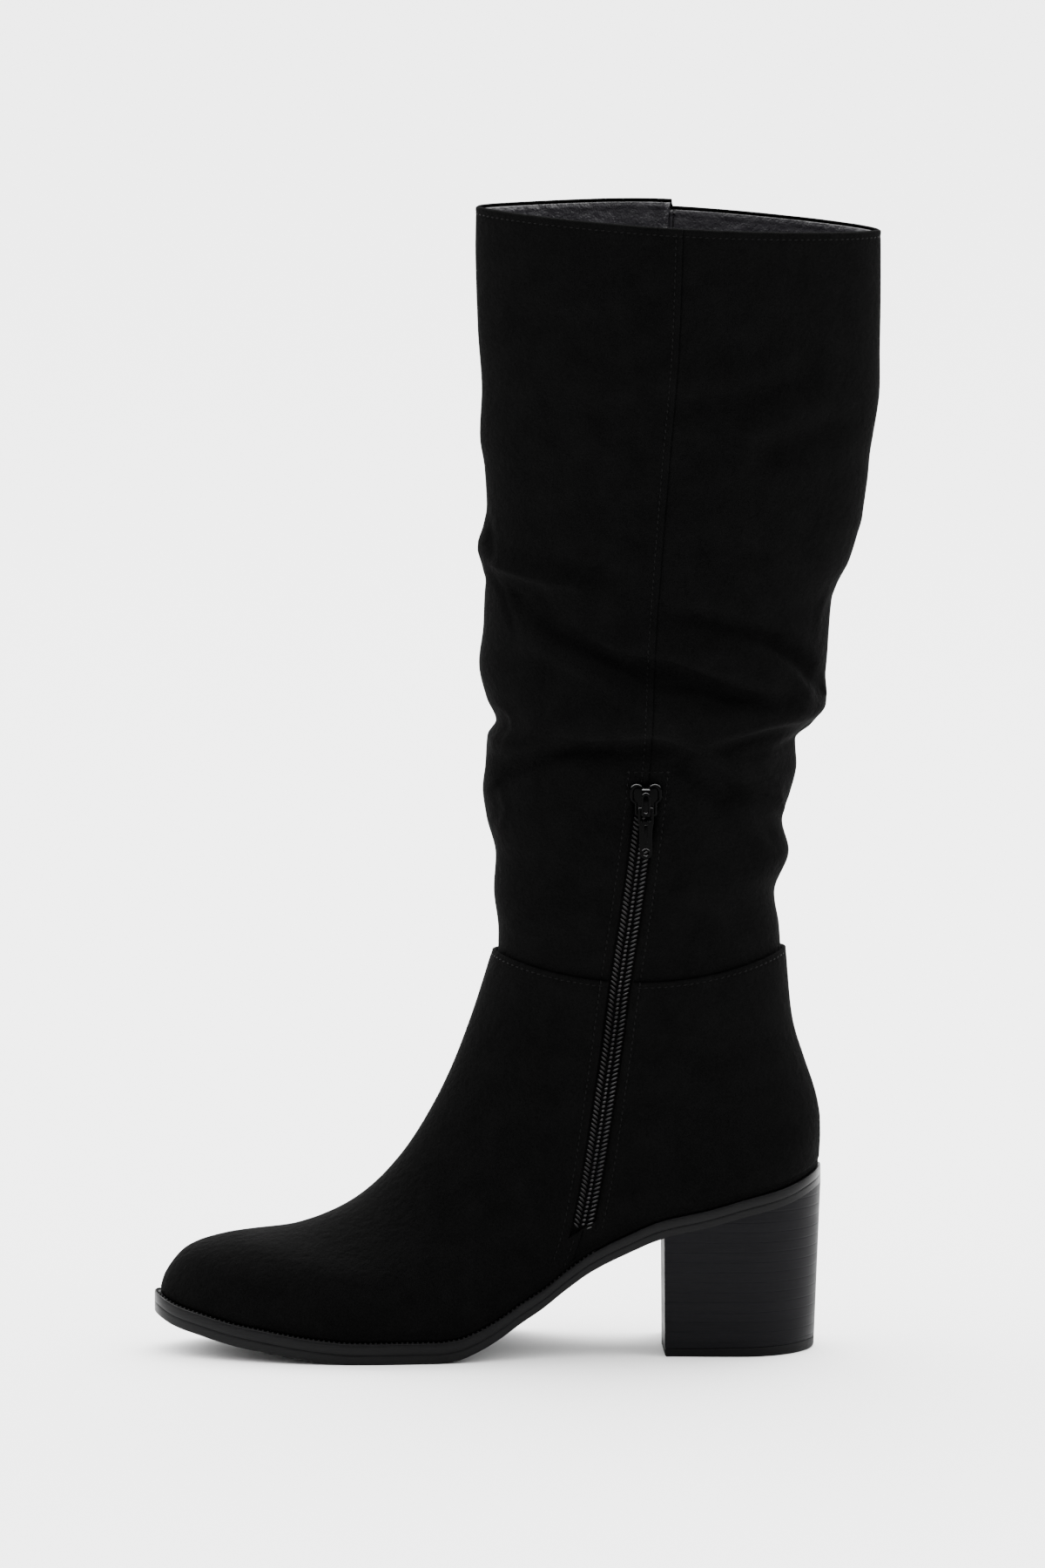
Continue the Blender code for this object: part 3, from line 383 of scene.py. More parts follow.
@dataclass
class Last:
    """Sizes of the sole and the forms worked out from them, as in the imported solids."""

    sole_length: float = 0.2558
    heel_back: float = 0.0318
    ball_width: float = 0.0855
    toe_turn: float = 0.006
    toe_spring: float = 0.0147
    seat_height: float = 0.0640
    forepart: float = 0.0081
    waist: float = 0.0069
    outsole_share: float = 0.5
    toe_cap: float = 0.35
    heel_cap: float = 0.115
    turn_ends: float = 0.45
    turn_power: float = 1.6
    margin_toe: float = 0.0024
    margin_heel: float = 0.0010

    def __post_init__(self) -> None:
        """Make the curves of the tables."""
        self.toe_rise = column(TOE_SIDE, "along", "rise")
        self.arch_rise = column(ARCH_SIDE, "along", "rise")
        self.waist_blend = column(WAIST_BLEND, "along", "rise")
        self.inner = column(SOLE_OUTLINE, "along", "inner")
        self.outer = column(SOLE_OUTLINE, "along", "outer")
        self.zip_along = column(ZIP_LINE, "height", "along")

    def x_at(self, along: Array) -> Array:
        """Place of a share of the sole's length, counted from the toe."""
        return self.heel_back - self.sole_length * (1 - along)

    def along_at(self, x: Array) -> Array:
        """Share of the sole's length at a place, counted from the toe."""
        return 1 - (self.heel_back - x) / self.sole_length

    def underside(self, x: Array) -> Array:
        """Height of the sole's underside."""
        along = self.along_at(x)
        toe = self.toe_spring * self.toe_rise(along)
        arch = self.seat_height * self.arch_rise(along)
        return np.where(along < TOE_SIDE[-1].along, toe, arch)

    def thickness(self, x: Array) -> Array:
        """Thickness of the whole sole."""
        return self.forepart + (self.waist - self.forepart) * self.waist_blend(self.along_at(x))

    def top(self, x: Array) -> Array:
        """Height of the sole's upper face."""
        return self.underside(x) + self.thickness(x)

    def joint(self, x: Array) -> Array:
        """Height of the top of the outsole."""
        return self.underside(x) + self.outsole_share * (self.thickness(x) - FIT_GAP)

    def centre_y(self, x: Array) -> Array:
        """Centre line of the sole, which turns inwards towards the toe."""
        lead = np.maximum(self.turn_ends - self.along_at(x), 0) / self.turn_ends
        return -self.toe_turn * lead**self.turn_power

    def half_width(self, x: Array, inner: Array) -> Array:
        """Half-width of the sole before its round ends are closed."""
        along = self.along_at(x)
        return self.ball_width * np.where(inner, self.inner(along), self.outer(along))

    def margin(self, x: Array) -> Array:
        """Ledge of the sole outside the upper."""
        along = np.clip(self.along_at(x), 0, 1)
        return self.margin_toe + (self.margin_heel - self.margin_toe) * along

    def outline(self, angles: Array, inset: float = 0.0) -> Array:
        """Points (x, y) of the sole's outline.

        Args:
            angles: Angles round the sole, 0 at the toe and 90 degrees on the inner side.
            inset: How far the outline lies inside the sole's edge.

        Returns:
            One row (x, y) for each angle.
        """
        part = (1 - np.cos(angles)) / 2
        x = self.x_at(0) + self.sole_length * part
        inner = np.sin(angles) >= 0
        width = self.half_width(x, inner) * closing(part, self.toe_cap, self.heel_cap)
        y = self.centre_y(x) + np.where(inner, -width, width)
        points = np.stack([x, y], axis=-1)
        if not inset:
            return points
        ahead = np.roll(points, -1, axis=0) - np.roll(points, 1, axis=0)
        normal = np.stack([ahead[:, 1], -ahead[:, 0]], axis=-1)
        normal /= np.linalg.norm(normal, axis=1, keepdims=True) + 1e-12
        return points - normal * inset

    def zip_x(self, z: Array, collar_height: float) -> Array:
        """Centre line of the zip, and of the seam above it, at a height."""
        return self.x_at(self.zip_along(z / collar_height))


def closing(part: Array, toe_cap: Array, back_cap: Array) -> Array:
    """Share of the full width left between two round ends."""
    part = np.clip(part, 0, 1)
    front = np.sqrt(np.clip(1 - (1 - part / toe_cap) ** 2, 0, None))
    back = np.sqrt(np.clip(1 - (1 - (1 - part) / back_cap) ** 2, 0, None))
    return np.where(part < toe_cap, front, np.where(part > 1 - back_cap, back, 1.0))


def round_blend(angle: Array, front: Array, side: Array, back: Array) -> Array:
    """Value round a ring with its own size at the front, the sides and the back."""
    ahead = np.clip(np.cos(angle), 0, None)
    behind = np.clip(-np.cos(angle), 0, None)
    return side + (front - side) * ahead**2 + (back - side) * behind**2


@dataclass
class Leg:
    """Outer faces of the upper and of the shaft, from the same sizes as the solids."""

    last: Last = field(default_factory=Last)
    upper_wall: float = 0.0016
    shaft_wall: float = 0.0014
    soft_gap: float = 0.0005
    band: float = 0.0020
    ankle_front: float = 0.1546
    ankle_side: float = 0.1460
    ankle_back: float = 0.1556
    ankle_width: float = 0.0660
    swell: float = 0.0016
    collar_height: float = 0.4407
    collar_drop: float = 0.0090
    collar_front: float = 0.1005
    collar_depth: float = 0.1544
    collar_width: float = 0.0760
    fold_depth: float = 0.0030
    fold_fade: float = 12.0
    slot_width: float = 0.0090
    zip_bottom: float = 0.0500
    zip_top: float = 0.2210

    def __post_init__(self) -> None:
        """Make the curves of the tables."""
        numbers = range(len(UPPER_RINGS))
        self.top_row = len(UPPER_RINGS) - 1
        self.rings = {
            name: Smooth(numbers, [getattr(ring, name) for ring in UPPER_RINGS]) for name in Ring._fields
        }
        self.front_line = column(SHAFT_LINES, "up", "front")
        self.back_line = column(SHAFT_LINES, "up", "back")
        self.extra = column(SHAFT_GIRTH, "up", "extra")
        self.roundness = column(SHAFT_GIRTH, "up", "roundness")
        self.paths = [Smooth([p[0] for p in fold.path], [p[1] for p in fold.path]) for fold in FOLDS]
        self.turns = np.linspace(0, 2 * math.pi, 1441)
        low = self.lap(np.full(self.turns.shape, float(self.top_row)), self.turns)
        self.low_heights = low[:, 2]
        self.low_front = low[0, 0]
        self.low_back = low[len(low) // 2, 0]
        self.upper_rows = np.linspace(0, self.top_row, 240)
        self.upper_heights = self.zip_heights(self.upper, self.upper_rows)
        self.shaft_rows = np.linspace(0, 1, 300)
        self.shaft_heights = self.zip_heights(self.shaft, self.shaft_rows)

    def upper(self, row: Array, angle: Array) -> Array:
        """Outer face of the upper; rows below 0 make the upright band on the sole."""
        last = self.last
        row, angle = np.broadcast_arrays(np.asarray(row, float), np.asarray(angle, float))
        ring = {name: curve(np.clip(row, 0, None)) for name, curve in self.rings.items()}
        front = last.x_at(0) + last.margin_toe + ring["front"] * last.sole_length
        back = last.heel_back - last.margin_heel - ring["back"] * last.sole_length
        part = (1 - np.cos(angle)) / 2
        x = front + (back - front) * part
        inner = np.sin(angle) >= 0
        width = last.half_width(x, inner) - last.margin(x) + self.swell * ring["swell"]
        width += (self.ankle_width / 2 - width) * ring["ankle"]
        width *= closing(part, ring["toe_cap"], ring["back_cap"])
        y = last.centre_y(x) + np.where(inner, -width, width)
        foot = last.top(x) + self.soft_gap
        rise = round_blend(angle, ring["front_rise"], ring["side_rise"], ring["back_rise"])
        seam = round_blend(angle, self.ankle_front, self.ankle_side, self.ankle_back)
        above = foot + self.band + rise * (seam - foot - self.band)
        z = np.where(row < 0, foot + self.band * (1 + np.minimum(row, 0)), above)
        return np.stack([x, y, z], axis=-1)

    def lap(self, row: Array, angle: Array) -> Array:
        """Outer face of the shaft's lower edge, tucked inside the top of the upper."""
        nudge = 0.001
        across = self.upper(row, angle + nudge) - self.upper(row, angle - nudge)
        upward = self.upper(row + nudge, angle) - self.upper(row - nudge, angle)
        normal = np.cross(across, upward)
        normal /= np.linalg.norm(normal, axis=-1, keepdims=True)
        return self.upper(row, angle) - normal * (self.upper_wall + self.soft_gap)

    def folds(self, up: Array, angle: Array) -> Array:
        """How far the large folds stand out of the shaft."""
        degrees = np.degrees(angle) % 360
        span = (self.collar_height - self.ankle_side) / self.collar_height
        total = np.zeros(np.broadcast(up, angle).shape)
        for fold, path in zip(FOLDS, self.paths):
            outside = np.maximum(fold.path[0][0] - degrees, degrees - fold.path[-1][0]) / self.fold_fade
            away = (up - path(degrees)) / fold.breadth * span
            total += self.fold_depth * fold.depth * np.exp(-np.clip(outside, 0, None) ** 2 - away**2)
        return total

    def shaft(self, up: Array, angle: Array) -> Array:
        """Outer face of the shaft, from the ankle seam (0) to the collar (1)."""
        up, angle = np.broadcast_arrays(np.asarray(up, float), np.asarray(angle, float))
        raised = np.clip(up, 0, None)
        front = self.low_front + (-self.collar_front - self.low_front) * raised
        front = front + self.front_line(raised) * self.collar_depth
        back = self.low_back + (self.collar_depth - self.collar_front - self.low_back) * raised
        back = back + self.back_line(raised) * self.collar_depth
        seam_width = self.ankle_width / 2 - self.upper_wall - self.soft_gap
        width = seam_width + (self.collar_width / 2 - seam_width) * raised
        width += self.extra(raised) * self.collar_width
        depth = (back - front) / 2
        power = self.roundness(raised)
        forward = np.cos(angle)
        side = np.clip(1 - np.abs(forward) ** power, 0, None) ** (1 / power)
        sign = np.where(np.sin(angle) >= 0, -1.0, 1.0)
        normal = np.stack([-forward / depth, sign * side / width, np.zeros_like(side)], axis=-1)
        normal /= np.linalg.norm(normal, axis=-1, keepdims=True)
        collar = self.collar_height - self.collar_drop * (1 - forward) / 2
        low = np.interp(np.mod(angle, 2 * math.pi), self.turns, self.low_heights)
        height = low + (collar - low) * raised
        place = np.stack([(front + back) / 2 - depth * forward, sign * width * side, height], axis=-1)
        place += normal * self.folds(raised, angle)[..., None]
        tucked = up < 0
        if tucked.any():
            place[tucked] = self.lap(self.top_row + up[tucked], angle[tucked])
        return place

    def zip_x(self, z: Array) -> Array:
        """Centre line of the zip, and of the seam above it."""
        return self.last.zip_x(z, self.collar_height)

    def seam_angles(self, form: Form, rows: Array, offsets: Array) -> Array:
        """Angles on the inner side at which rows lie beside the zip's centre line.

        Args:
            form: Outer face of the upper or of the shaft.
            rows: Rows to solve.
            offsets: Distances behind the centre line, in metres along X.

        Returns:
            Array of angles (rows, offsets).
        """
        sweep = np.linspace(0.02, math.pi - 0.02, SWEEP_STEPS)
        place = form(rows[:, None], sweep[None, :])
        behind = place[..., 0] - self.zip_x(place[..., 2])
        return np.array([np.interp(offsets, line, sweep) for line in behind])

    def seam_line(self, form: Form, rows: Array, offset: float) -> Array:
        """Angles at which rows lie at one distance behind the zip's centre line."""
        return self.seam_angles(form, rows, np.array([offset]))[:, 0]

    def zip_heights(self, form: Form, rows: Array) -> Array:
        """Heights of rows on the zip's centre line."""
        return form(rows, self.seam_line(form, rows, 0.0))[:, 2]

    def upper_row(self, z: float) -> float:
        """Row of the upper that the zip's centre line reaches at a height."""
        return float(np.interp(z, self.upper_heights, self.upper_rows))

    def shaft_row(self, z: float) -> float:
        """Row of the shaft that the zip's centre line reaches at a height."""
        return float(np.interp(z, self.shaft_heights, self.shaft_rows))


def normals_of(points: Array) -> Array:
    """Outward normals of a closed grid of points (rows, columns, 3).

    Args:
        points: Grid whose columns run front, inner side, back, outer side.

    Returns:
        Unit normals of the same shape.
    """
    across = np.roll(points, -1, axis=1) - np.roll(points, 1, axis=1)
    upward = np.gradient(points, axis=0)
    normal = np.cross(across, upward)
    return normal / (np.linalg.norm(normal, axis=-1, keepdims=True) + 1e-12)


def face_at(form: Form, rows: Array, angles: Array) -> tuple[Array, Array]:
    """Places and outward unit normals of a face at some rows and angles."""
    nudge = 0.002
    across = form(rows, angles + nudge) - form(rows, angles - nudge)
    upward = form(rows + nudge, angles) - form(rows - nudge, angles)
    normal = np.cross(across, upward)
    normal /= np.linalg.norm(normal, axis=-1, keepdims=True)
    return form(rows, angles), normal


def mesh_from_faces(name: str, points: Array, faces: Array) -> bpy.types.Mesh:
    """Mesh of some points and faces, without the points that no face uses."""
    used, inverse = np.unique(faces, return_inverse=True)
    mesh = bpy.data.meshes.new(name)
    mesh.from_pydata(points.reshape(-1, 3)[used].tolist(), [], inverse.reshape(faces.shape).tolist())
    mesh.shade_smooth()
    return mesh


def grid_faces(rows: int, columns: int, keep: Array | None = None) -> Array:
    """Quads of a ring grid, facing out, as rows of four point numbers.

    Args:
        rows: Number of rows of points.
        columns: Number of columns of points, of which the last joins the first.
        keep: Optional mask (rows - 1, columns) of the quads that are made.

    Returns:
        Array of quads.
    """
    index = np.arange(rows * columns).reshape(rows, columns)
    right = np.roll(index, -1, axis=1)
    quads = np.stack([index[:-1], right[:-1], right[1:], index[1:]], axis=-1)
    if keep is not None:
        return quads[keep]
    return quads.reshape(-1, 4)


def mend(mesh: bpy.types.Mesh, merge: float = 0.0) -> bpy.types.Mesh:
    """Close a mesh's open edges, or merge its doubles, and turn its faces outwards.

    Args:
        mesh: The mesh, which is changed.
        merge: Distance under which points are doubles. 0 closes open edges instead.

    Returns:
        The same mesh.
    """
    form = bmesh.new()
    form.from_mesh(mesh)
    if merge:
        bmesh.ops.remove_doubles(form, verts=form.verts, dist=merge)
    else:
        bmesh.ops.holes_fill(form, edges=[edge for edge in form.edges if edge.is_boundary])
    bmesh.ops.recalc_face_normals(form, faces=form.faces)
    form.to_mesh(mesh)
    form.free()
    return mesh


def join(name: str, meshes: Sequence[bpy.types.Mesh], crisp: float) -> bpy.types.Mesh:
    """One smooth mesh from several, which are removed.

    Args:
        name: Name of the mesh.
        meshes: Meshes to join.
        crisp: Angle in degrees over which an edge stays sharp.

    Returns:
        The joined mesh.
    """
    form = bmesh.new()
    for mesh in meshes:
        form.from_mesh(mesh)
        bpy.data.meshes.remove(mesh)
    joined = bpy.data.meshes.new(name)
    form.to_mesh(joined)
    form.free()
    joined.shade_smooth()
    joined.set_sharp_from_angle(angle=math.radians(crisp))
    return joined


def place_object(name: str, mesh: bpy.types.Mesh, material: bpy.types.Material) -> bpy.types.Object:
    """Object at the origin that shows a mesh in a material."""
    mesh.materials.clear()
    mesh.materials.append(material)
    item = bpy.data.objects.new(name, mesh)
    bpy.context.scene.collection.objects.link(item)
    return item


def settle(item: bpy.types.Object, body: str, nodes: Sequence[str] = ()) -> None:
    """Ride a piece on its body and the nodes that it stands for."""
    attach(item, body)
    if nodes:
        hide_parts(*nodes)
    LOG.info("%s: %d faces, on %s", item.name, len(item.data.polygons), body)


def bake_modifiers(item: bpy.types.Object) -> None:
    """Turn an object's modifiers into plain mesh."""
    bpy.context.view_layer.update()
    graph = bpy.context.evaluated_depsgraph_get()
    mesh = bpy.data.meshes.new_from_object(item.evaluated_get(graph))
    item.modifiers.clear()
    item.data = mesh


class Nodes:
    """Short writing of a material's or a geometry tree's nodes."""

    def __init__(self, tree: bpy.types.NodeTree) -> None:
        """Keep the tree."""
        self.tree = tree

    def add(self, kind: str, settings: dict | None = None, **values: object) -> bpy.types.Node:
        """New node with settings on itself and values or links on its inputs.

        Args:
            kind: Node type name.
            settings: Properties of the node.
            **values: Inputs by name, with spaces as underscores. A socket is linked.

        Returns:
            The node.
        """
        node = self.tree.nodes.new(kind)
        for key, value in (settings or {}).items():
            setattr(node, key, value)
        for key, value in values.items():
            self.feed(node.inputs[key.replace("_", " ")], value)
        return node

    def math(self, operation: str, *values: object) -> bpy.types.NodeSocket:
        """Result of an arithmetic node on some values or sockets."""
        node = self.add("ShaderNodeMath", {"operation": operation})
        for socket, value in zip(node.inputs, values):
            self.feed(socket, value)
        return node.outputs[0]

    def feed(self, socket: bpy.types.NodeSocket, value: object) -> None:
        """Link a socket to an input, or set its value."""
        if isinstance(value, bpy.types.NodeSocket):
            self.tree.links.new(value, socket)
        else:
            socket.default_value = value


@dataclass(frozen=True)
class Finish:
    """A finish whose colour, roughness and relief vary over the surface, with an optional painted highlight:
    more specular on faces that turn up.
    """

    name: str
    dark: tuple[float, float, float]
    light: tuple[float, float, float]
    patch: float
    roughness: tuple[float, float]
    specular: float
    grain: float
    relief: float
    stretch: tuple[float, float, float] = (1.0, 1.0, 1.0)
    sheen: float = 0.0
    sheen_roughness: float = 0.4
    sheen_tint: tuple[float, float, float] = (0.6, 0.6, 0.6)
    fibre: float = 0.0
    # Painted highlight: extra specular level on faces that turn up towards the top light, so glints show
    # there
    rim_gloss: float = 0.0
    bands: float = 0.0
    band_depth: float = 0.0
    cell: bool = False

    def material(self) -> bpy.types.Material:
        """Build the finish as a procedural material."""
        made = bpy.data.materials.new(self.name)
        made.use_nodes = True
        made.node_tree.nodes.clear()
        nodes = Nodes(made.node_tree)
        place = nodes.add("ShaderNodeTexCoord").outputs["Object"]
        spread = nodes.add("ShaderNodeMapping", Vector=place, Scale=self.stretch).outputs["Vector"]
        patch = nodes.add("ShaderNodeTexNoise", Vector=spread, Scale=self.patch, Detail=5.0, Roughness=0.6)
        speck = nodes.add("ShaderNodeTexNoise", Vector=spread, Scale=self.grain, Detail=2.0)
        mottle = nodes.math("MULTIPLY_ADD", speck.outputs["Fac"], 0.5, patch.outputs["Fac"])
        level = nodes.add("ShaderNodeMapRange", Value=mottle, From_Min=0.5, From_Max=1.05)
        colour = nodes.add("ShaderNodeMix", {"data_type": "RGBA"})
        nodes.feed(colour.inputs["Factor"], level.outputs["Result"])
        nodes.feed(colour.inputs[6], (*self.dark, 1.0))
        nodes.feed(colour.inputs[7], (*self.light, 1.0))
        rough = nodes.add(
            "ShaderNodeMapRange", Value=patch.outputs["Fac"], From_Min=0.3, From_Max=0.7,
            To_Min=self.roughness[0], To_Max=self.roughness[1],
        )
        if self.cell:
            fine = nodes.add("ShaderNodeTexVoronoi", Vector=spread, Scale=self.grain).outputs["Distance"]
        else:
            fine = speck.outputs["Fac"]
        bump = nodes.add("ShaderNodeBump", Height=fine, Strength=1.0, Distance=self.relief)
        last_normal = bump.outputs["Normal"]
        if self.fibre:
            nap = nodes.add("ShaderNodeTexNoise", Vector=spread, Scale=self.patch * 4, Detail=6.0)
            second = nodes.add(
                "ShaderNodeBump", Height=nap.outputs["Fac"], Strength=1.0,
                Distance=self.fibre, Normal=last_normal,
            )
            last_normal = second.outputs["Normal"]
        if self.bands:
            last_normal = self.banded(nodes, place, patch.outputs["Fac"], last_normal)
        # Painted highlight: the specular level climbs from its plain value on faces that turn up, standing in
        # for glints from the top light
        specular_with_glint = self.specular
        if self.rim_gloss:
            facing = nodes.add("ShaderNodeNewGeometry").outputs["Normal"]
            upward = nodes.add("ShaderNodeSeparateXYZ", Vector=facing).outputs["Z"]
            specular_with_glint = nodes.add(
                "ShaderNodeMapRange", {"interpolation_type": "SMOOTHSTEP"}, Value=upward, From_Min=0.25,
                From_Max=0.85, To_Min=self.specular, To_Max=self.specular + self.rim_gloss,
            ).outputs["Result"]
        shader = nodes.add(
            "ShaderNodeBsdfPrincipled", Base_Color=colour.outputs[2], Roughness=rough.outputs["Result"],
            Normal=last_normal, Specular_IOR_Level=specular_with_glint, Sheen_Weight=self.sheen,
            Sheen_Roughness=self.sheen_roughness, Sheen_Tint=(*self.sheen_tint, 1.0),
        )
        nodes.add("ShaderNodeOutputMaterial", Surface=shader.outputs["BSDF"])
        return made

    def banded(
        self, nodes: Nodes, place: bpy.types.NodeSocket, uneven: bpy.types.NodeSocket,
        normal: bpy.types.NodeSocket,
    ) -> bpy.types.NodeSocket:
        """Level joint lines, as between the layers of a stacked heel.

        Args:
            nodes: Writer of the material's nodes.
            place: Object coordinates.
            uneven: Noise that fades the lines in places.
            normal: Normal that the lines are laid over.

        Returns:
            The new normal.
        """
        height = nodes.add("ShaderNodeSeparateXYZ", Vector=place).outputs["Z"]
        part = nodes.math("FRACT", nodes.math("DIVIDE", height, self.bands))
        away = nodes.math("ABSOLUTE", nodes.math("SUBTRACT", part, 0.5))
        line = nodes.add(
            "ShaderNodeMapRange", Value=away, From_Min=0.02, From_Max=0.10, To_Min=1.0, To_Max=0.0,
        )
        faded = nodes.math("MULTIPLY", line.outputs["Result"], uneven)
        bump = nodes.add(
            "ShaderNodeBump", {"invert": True}, Height=faded, Strength=1.0,
            Distance=self.band_depth, Normal=normal,
        )
        return bump.outputs["Normal"]


MICROSUEDE = Finish(
    "black_microsuede", (0.0009, 0.0009, 0.0009), (0.0022, 0.0022, 0.0022), 90.0, (0.86, 0.98), 0.02,
    1100.0, 0.00022, sheen=0.004, sheen_roughness=0.35, sheen_tint=(0.60, 0.60, 0.60), fibre=0.0006,
)
LINING = Finish(
    "lining_leatherette", (0.018, 0.0170, 0.0200), (0.034, 0.0320, 0.0372), 60.0, (0.22, 0.32), 0.75,
    1300.0, 0.00010, fibre=0.0008, cell=True,
)
SOLE_EDGE = Finish(
    "sole_edge_black", (0.0016, 0.0016, 0.0017), (0.0034, 0.0034, 0.0037), 60.0, (0.30, 0.44), 0.08,
    900.0, 0.00005, stretch=(0.12, 0.12, 1.6),
)
STACK = Finish(
    "heel_stack_black", (0.0040, 0.0040, 0.0045), (0.0062, 0.0062, 0.0069), 55.0, (0.40, 0.52), 0.028,
    800.0, 0.00003, stretch=(0.10, 0.10, 2.2), bands=0.0039, band_depth=0.00016,
)
RUBBER = Finish(
    "top_lift_rubber", (0.0014, 0.0014, 0.0016), (0.0026, 0.0026, 0.0028), 150.0, (0.5, 0.7), 0.07,
    1200.0, 0.00008,
)
TAPE = Finish(
    "zip_tape_weave", (0.0006, 0.0006, 0.0006), (0.0014, 0.0014, 0.0015), 300.0, (0.7, 0.9), 0.03,
    1800.0, 0.00020, stretch=(1.0, 1.0, 0.5),
)
# The coil and the enamel carry painted glints: more specular where their faces turn up
COIL = Finish(
    "zip_coil_black", (0.0018, 0.0018, 0.0018), (0.0028, 0.0028, 0.0029), 200.0, (0.26, 0.32), 0.18,
    1500.0, 0.00001, rim_gloss=1.9,
)
ENAMEL = Finish(
    "black_enamel", (0.0004, 0.0004, 0.0004), (0.0006, 0.0006, 0.0006), 120.0, (0.12, 0.18), 0.02,
    900.0, 0.00001, rim_gloss=2.6,
)
THREAD = Finish(
    "thread_black", (0.0013, 0.0013, 0.0013), (0.0025, 0.0025, 0.0025), 400.0, (0.45, 0.6), 0.05,
    3000.0, 0.00005,
)
FINISHES = (MICROSUEDE, LINING, SOLE_EDGE, STACK, RUBBER, TAPE, COIL, ENAMEL, THREAD)


class StampTree:
    """Geometry Nodes tree that sets copies of a small stamp along a path.

    The path is a line of edges whose points carry the vector attribute "outward". Each
    copy has its X along the path and its Z outwards.
    """

    def __init__(self) -> None:
        """Build the tree once for all paths."""
        self.tree = bpy.data.node_groups.new("stamp_along_path", "GeometryNodeTree")
        face = self.tree.interface
        self.sockets = {}
        for name, kind in (
            ("Path", "NodeSocketGeometry"), ("Stamp", "NodeSocketObject"), ("Pitch", "NodeSocketFloat"),
            ("Jitter", "NodeSocketFloat"), ("Seed", "NodeSocketInt"), ("Finish", "NodeSocketMaterial"),
        ):
            self.sockets[name] = face.new_socket(name, in_out="INPUT", socket_type=kind).identifier
        face.new_socket("Result", in_out="OUTPUT", socket_type="NodeSocketGeometry")
        nodes = Nodes(self.tree)
        given = nodes.add("NodeGroupInput").outputs
        curve = nodes.add("GeometryNodeMeshToCurve", Mesh=given["Path"])
        even = nodes.add(
            "GeometryNodeResampleCurve", {"mode": "LENGTH"}, Curve=curve.outputs[0], Length=given["Pitch"],
        )
        tangent = nodes.add("GeometryNodeInputTangent").outputs[0]
        outward = nodes.add("GeometryNodeInputNamedAttribute", {"data_type": "FLOAT_VECTOR"}, Name="outward")
        along = nodes.add("FunctionNodeAlignRotationToVector", {"axis": "X"}, Vector=tangent)
        facing = nodes.add(
            "FunctionNodeAlignRotationToVector", {"axis": "Z", "pivot_axis": "X"},
            Rotation=along.outputs[0], Vector=outward.outputs[0],
        )
        chance = nodes.add("FunctionNodeRandomValue", {"data_type": "FLOAT"}, Seed=given["Seed"])
        turn = nodes.math("MULTIPLY_ADD", chance.outputs[1], 2.0, -1.0)
        spin = nodes.add("ShaderNodeCombineXYZ", Z=nodes.math("MULTIPLY", turn, given["Jitter"]))
        euler = nodes.add("FunctionNodeEulerToRotation", Euler=spin.outputs[0])
        turned = nodes.add(
            "FunctionNodeRotateRotation", {"rotation_space": "LOCAL"}, Rotation=facing.outputs[0],
        )
        nodes.feed(turned.inputs[1], euler.outputs[0])
        stamp = nodes.add("GeometryNodeObjectInfo", Object=given["Stamp"])
        copies = nodes.add(
            "GeometryNodeInstanceOnPoints", Points=even.outputs[0],
            Instance=stamp.outputs["Geometry"], Rotation=turned.outputs[0],
        )
        solid = nodes.add("GeometryNodeRealizeInstances", Geometry=copies.outputs[0])
        dressed = nodes.add("GeometryNodeSetMaterial", Geometry=solid.outputs[0], Material=given["Finish"])
        nodes.add("NodeGroupOutput", Result=dressed.outputs[0])

    def run(
        self, name: str, paths: Sequence[tuple[Array, Array]], stamp: bpy.types.Object,
        pitch: float, finish: bpy.types.Material, jitter: float = 0.0,
    ) -> bpy.types.Object:
        """Set a stamp along some paths and return the copies as one plain mesh.

        Args:
            name: Name of the new piece.
            paths: Pairs of points (n, 3) and outward vectors (n, 3).
            stamp: Object that holds the small shape.
            pitch: Distance between copies.
            finish: Material of the copies.
            jitter: Largest random turn about the outward axis, in radians.

        Returns:
            The finished object.
        """
        points = np.concatenate([path[0] for path in paths])
        outward = np.concatenate([path[1] for path in paths])
        edges = []
        start = 0
        for path in paths:
            count = len(path[0])
            edges += [(start + step, start + step + 1) for step in range(count - 1)]
            start += count
        mesh = bpy.data.meshes.new(name)
        mesh.from_pydata(points.tolist(), edges, [])
        mesh.attributes.new("outward", "FLOAT_VECTOR", "POINT").data.foreach_set("vector", outward.ravel())
        item = bpy.data.objects.new(name, mesh)
        bpy.context.scene.collection.objects.link(item)
        modifier = item.modifiers.new("stamps", "NODES")
        modifier.node_group = self.tree
        values = {"Stamp": stamp, "Pitch": pitch, "Jitter": jitter, "Seed": 7, "Finish": finish}
        for key, value in values.items():
            modifier[self.sockets[key]] = value
        bake_modifiers(item)
        item.data.shade_smooth()
        item.data.materials.clear()
        item.data.materials.append(finish)
        return item


def bead_stamp(
    name: str, pieces: Sequence[tuple[Vector, Vector, float]], segments: int = 8,
) -> bpy.types.Object:
    """Small shape made of ellipsoid beads.

    Args:
        name: Name of the hidden object.
        pieces: Centre, half-sizes and turn about Z in radians of each bead.
        segments: Segments round each bead.

    Returns:
        The stamp, which is removed once it has been used.
    """
    form = bmesh.new()
    for centre, size, turn in pieces:
        place = Matrix.Translation(centre) @ Matrix.Rotation(turn, 4, "Z") @ Matrix.Diagonal((*size, 1))
        rings = segments // 2 + 1
        bmesh.ops.create_uvsphere(form, u_segments=segments, v_segments=rings, radius=1, matrix=place)
    mesh = bpy.data.meshes.new(name)
    form.to_mesh(mesh)
    form.free()
    item = bpy.data.objects.new(name, mesh)
    bpy.context.scene.collection.objects.link(item)
    item.hide_render = True
    return item


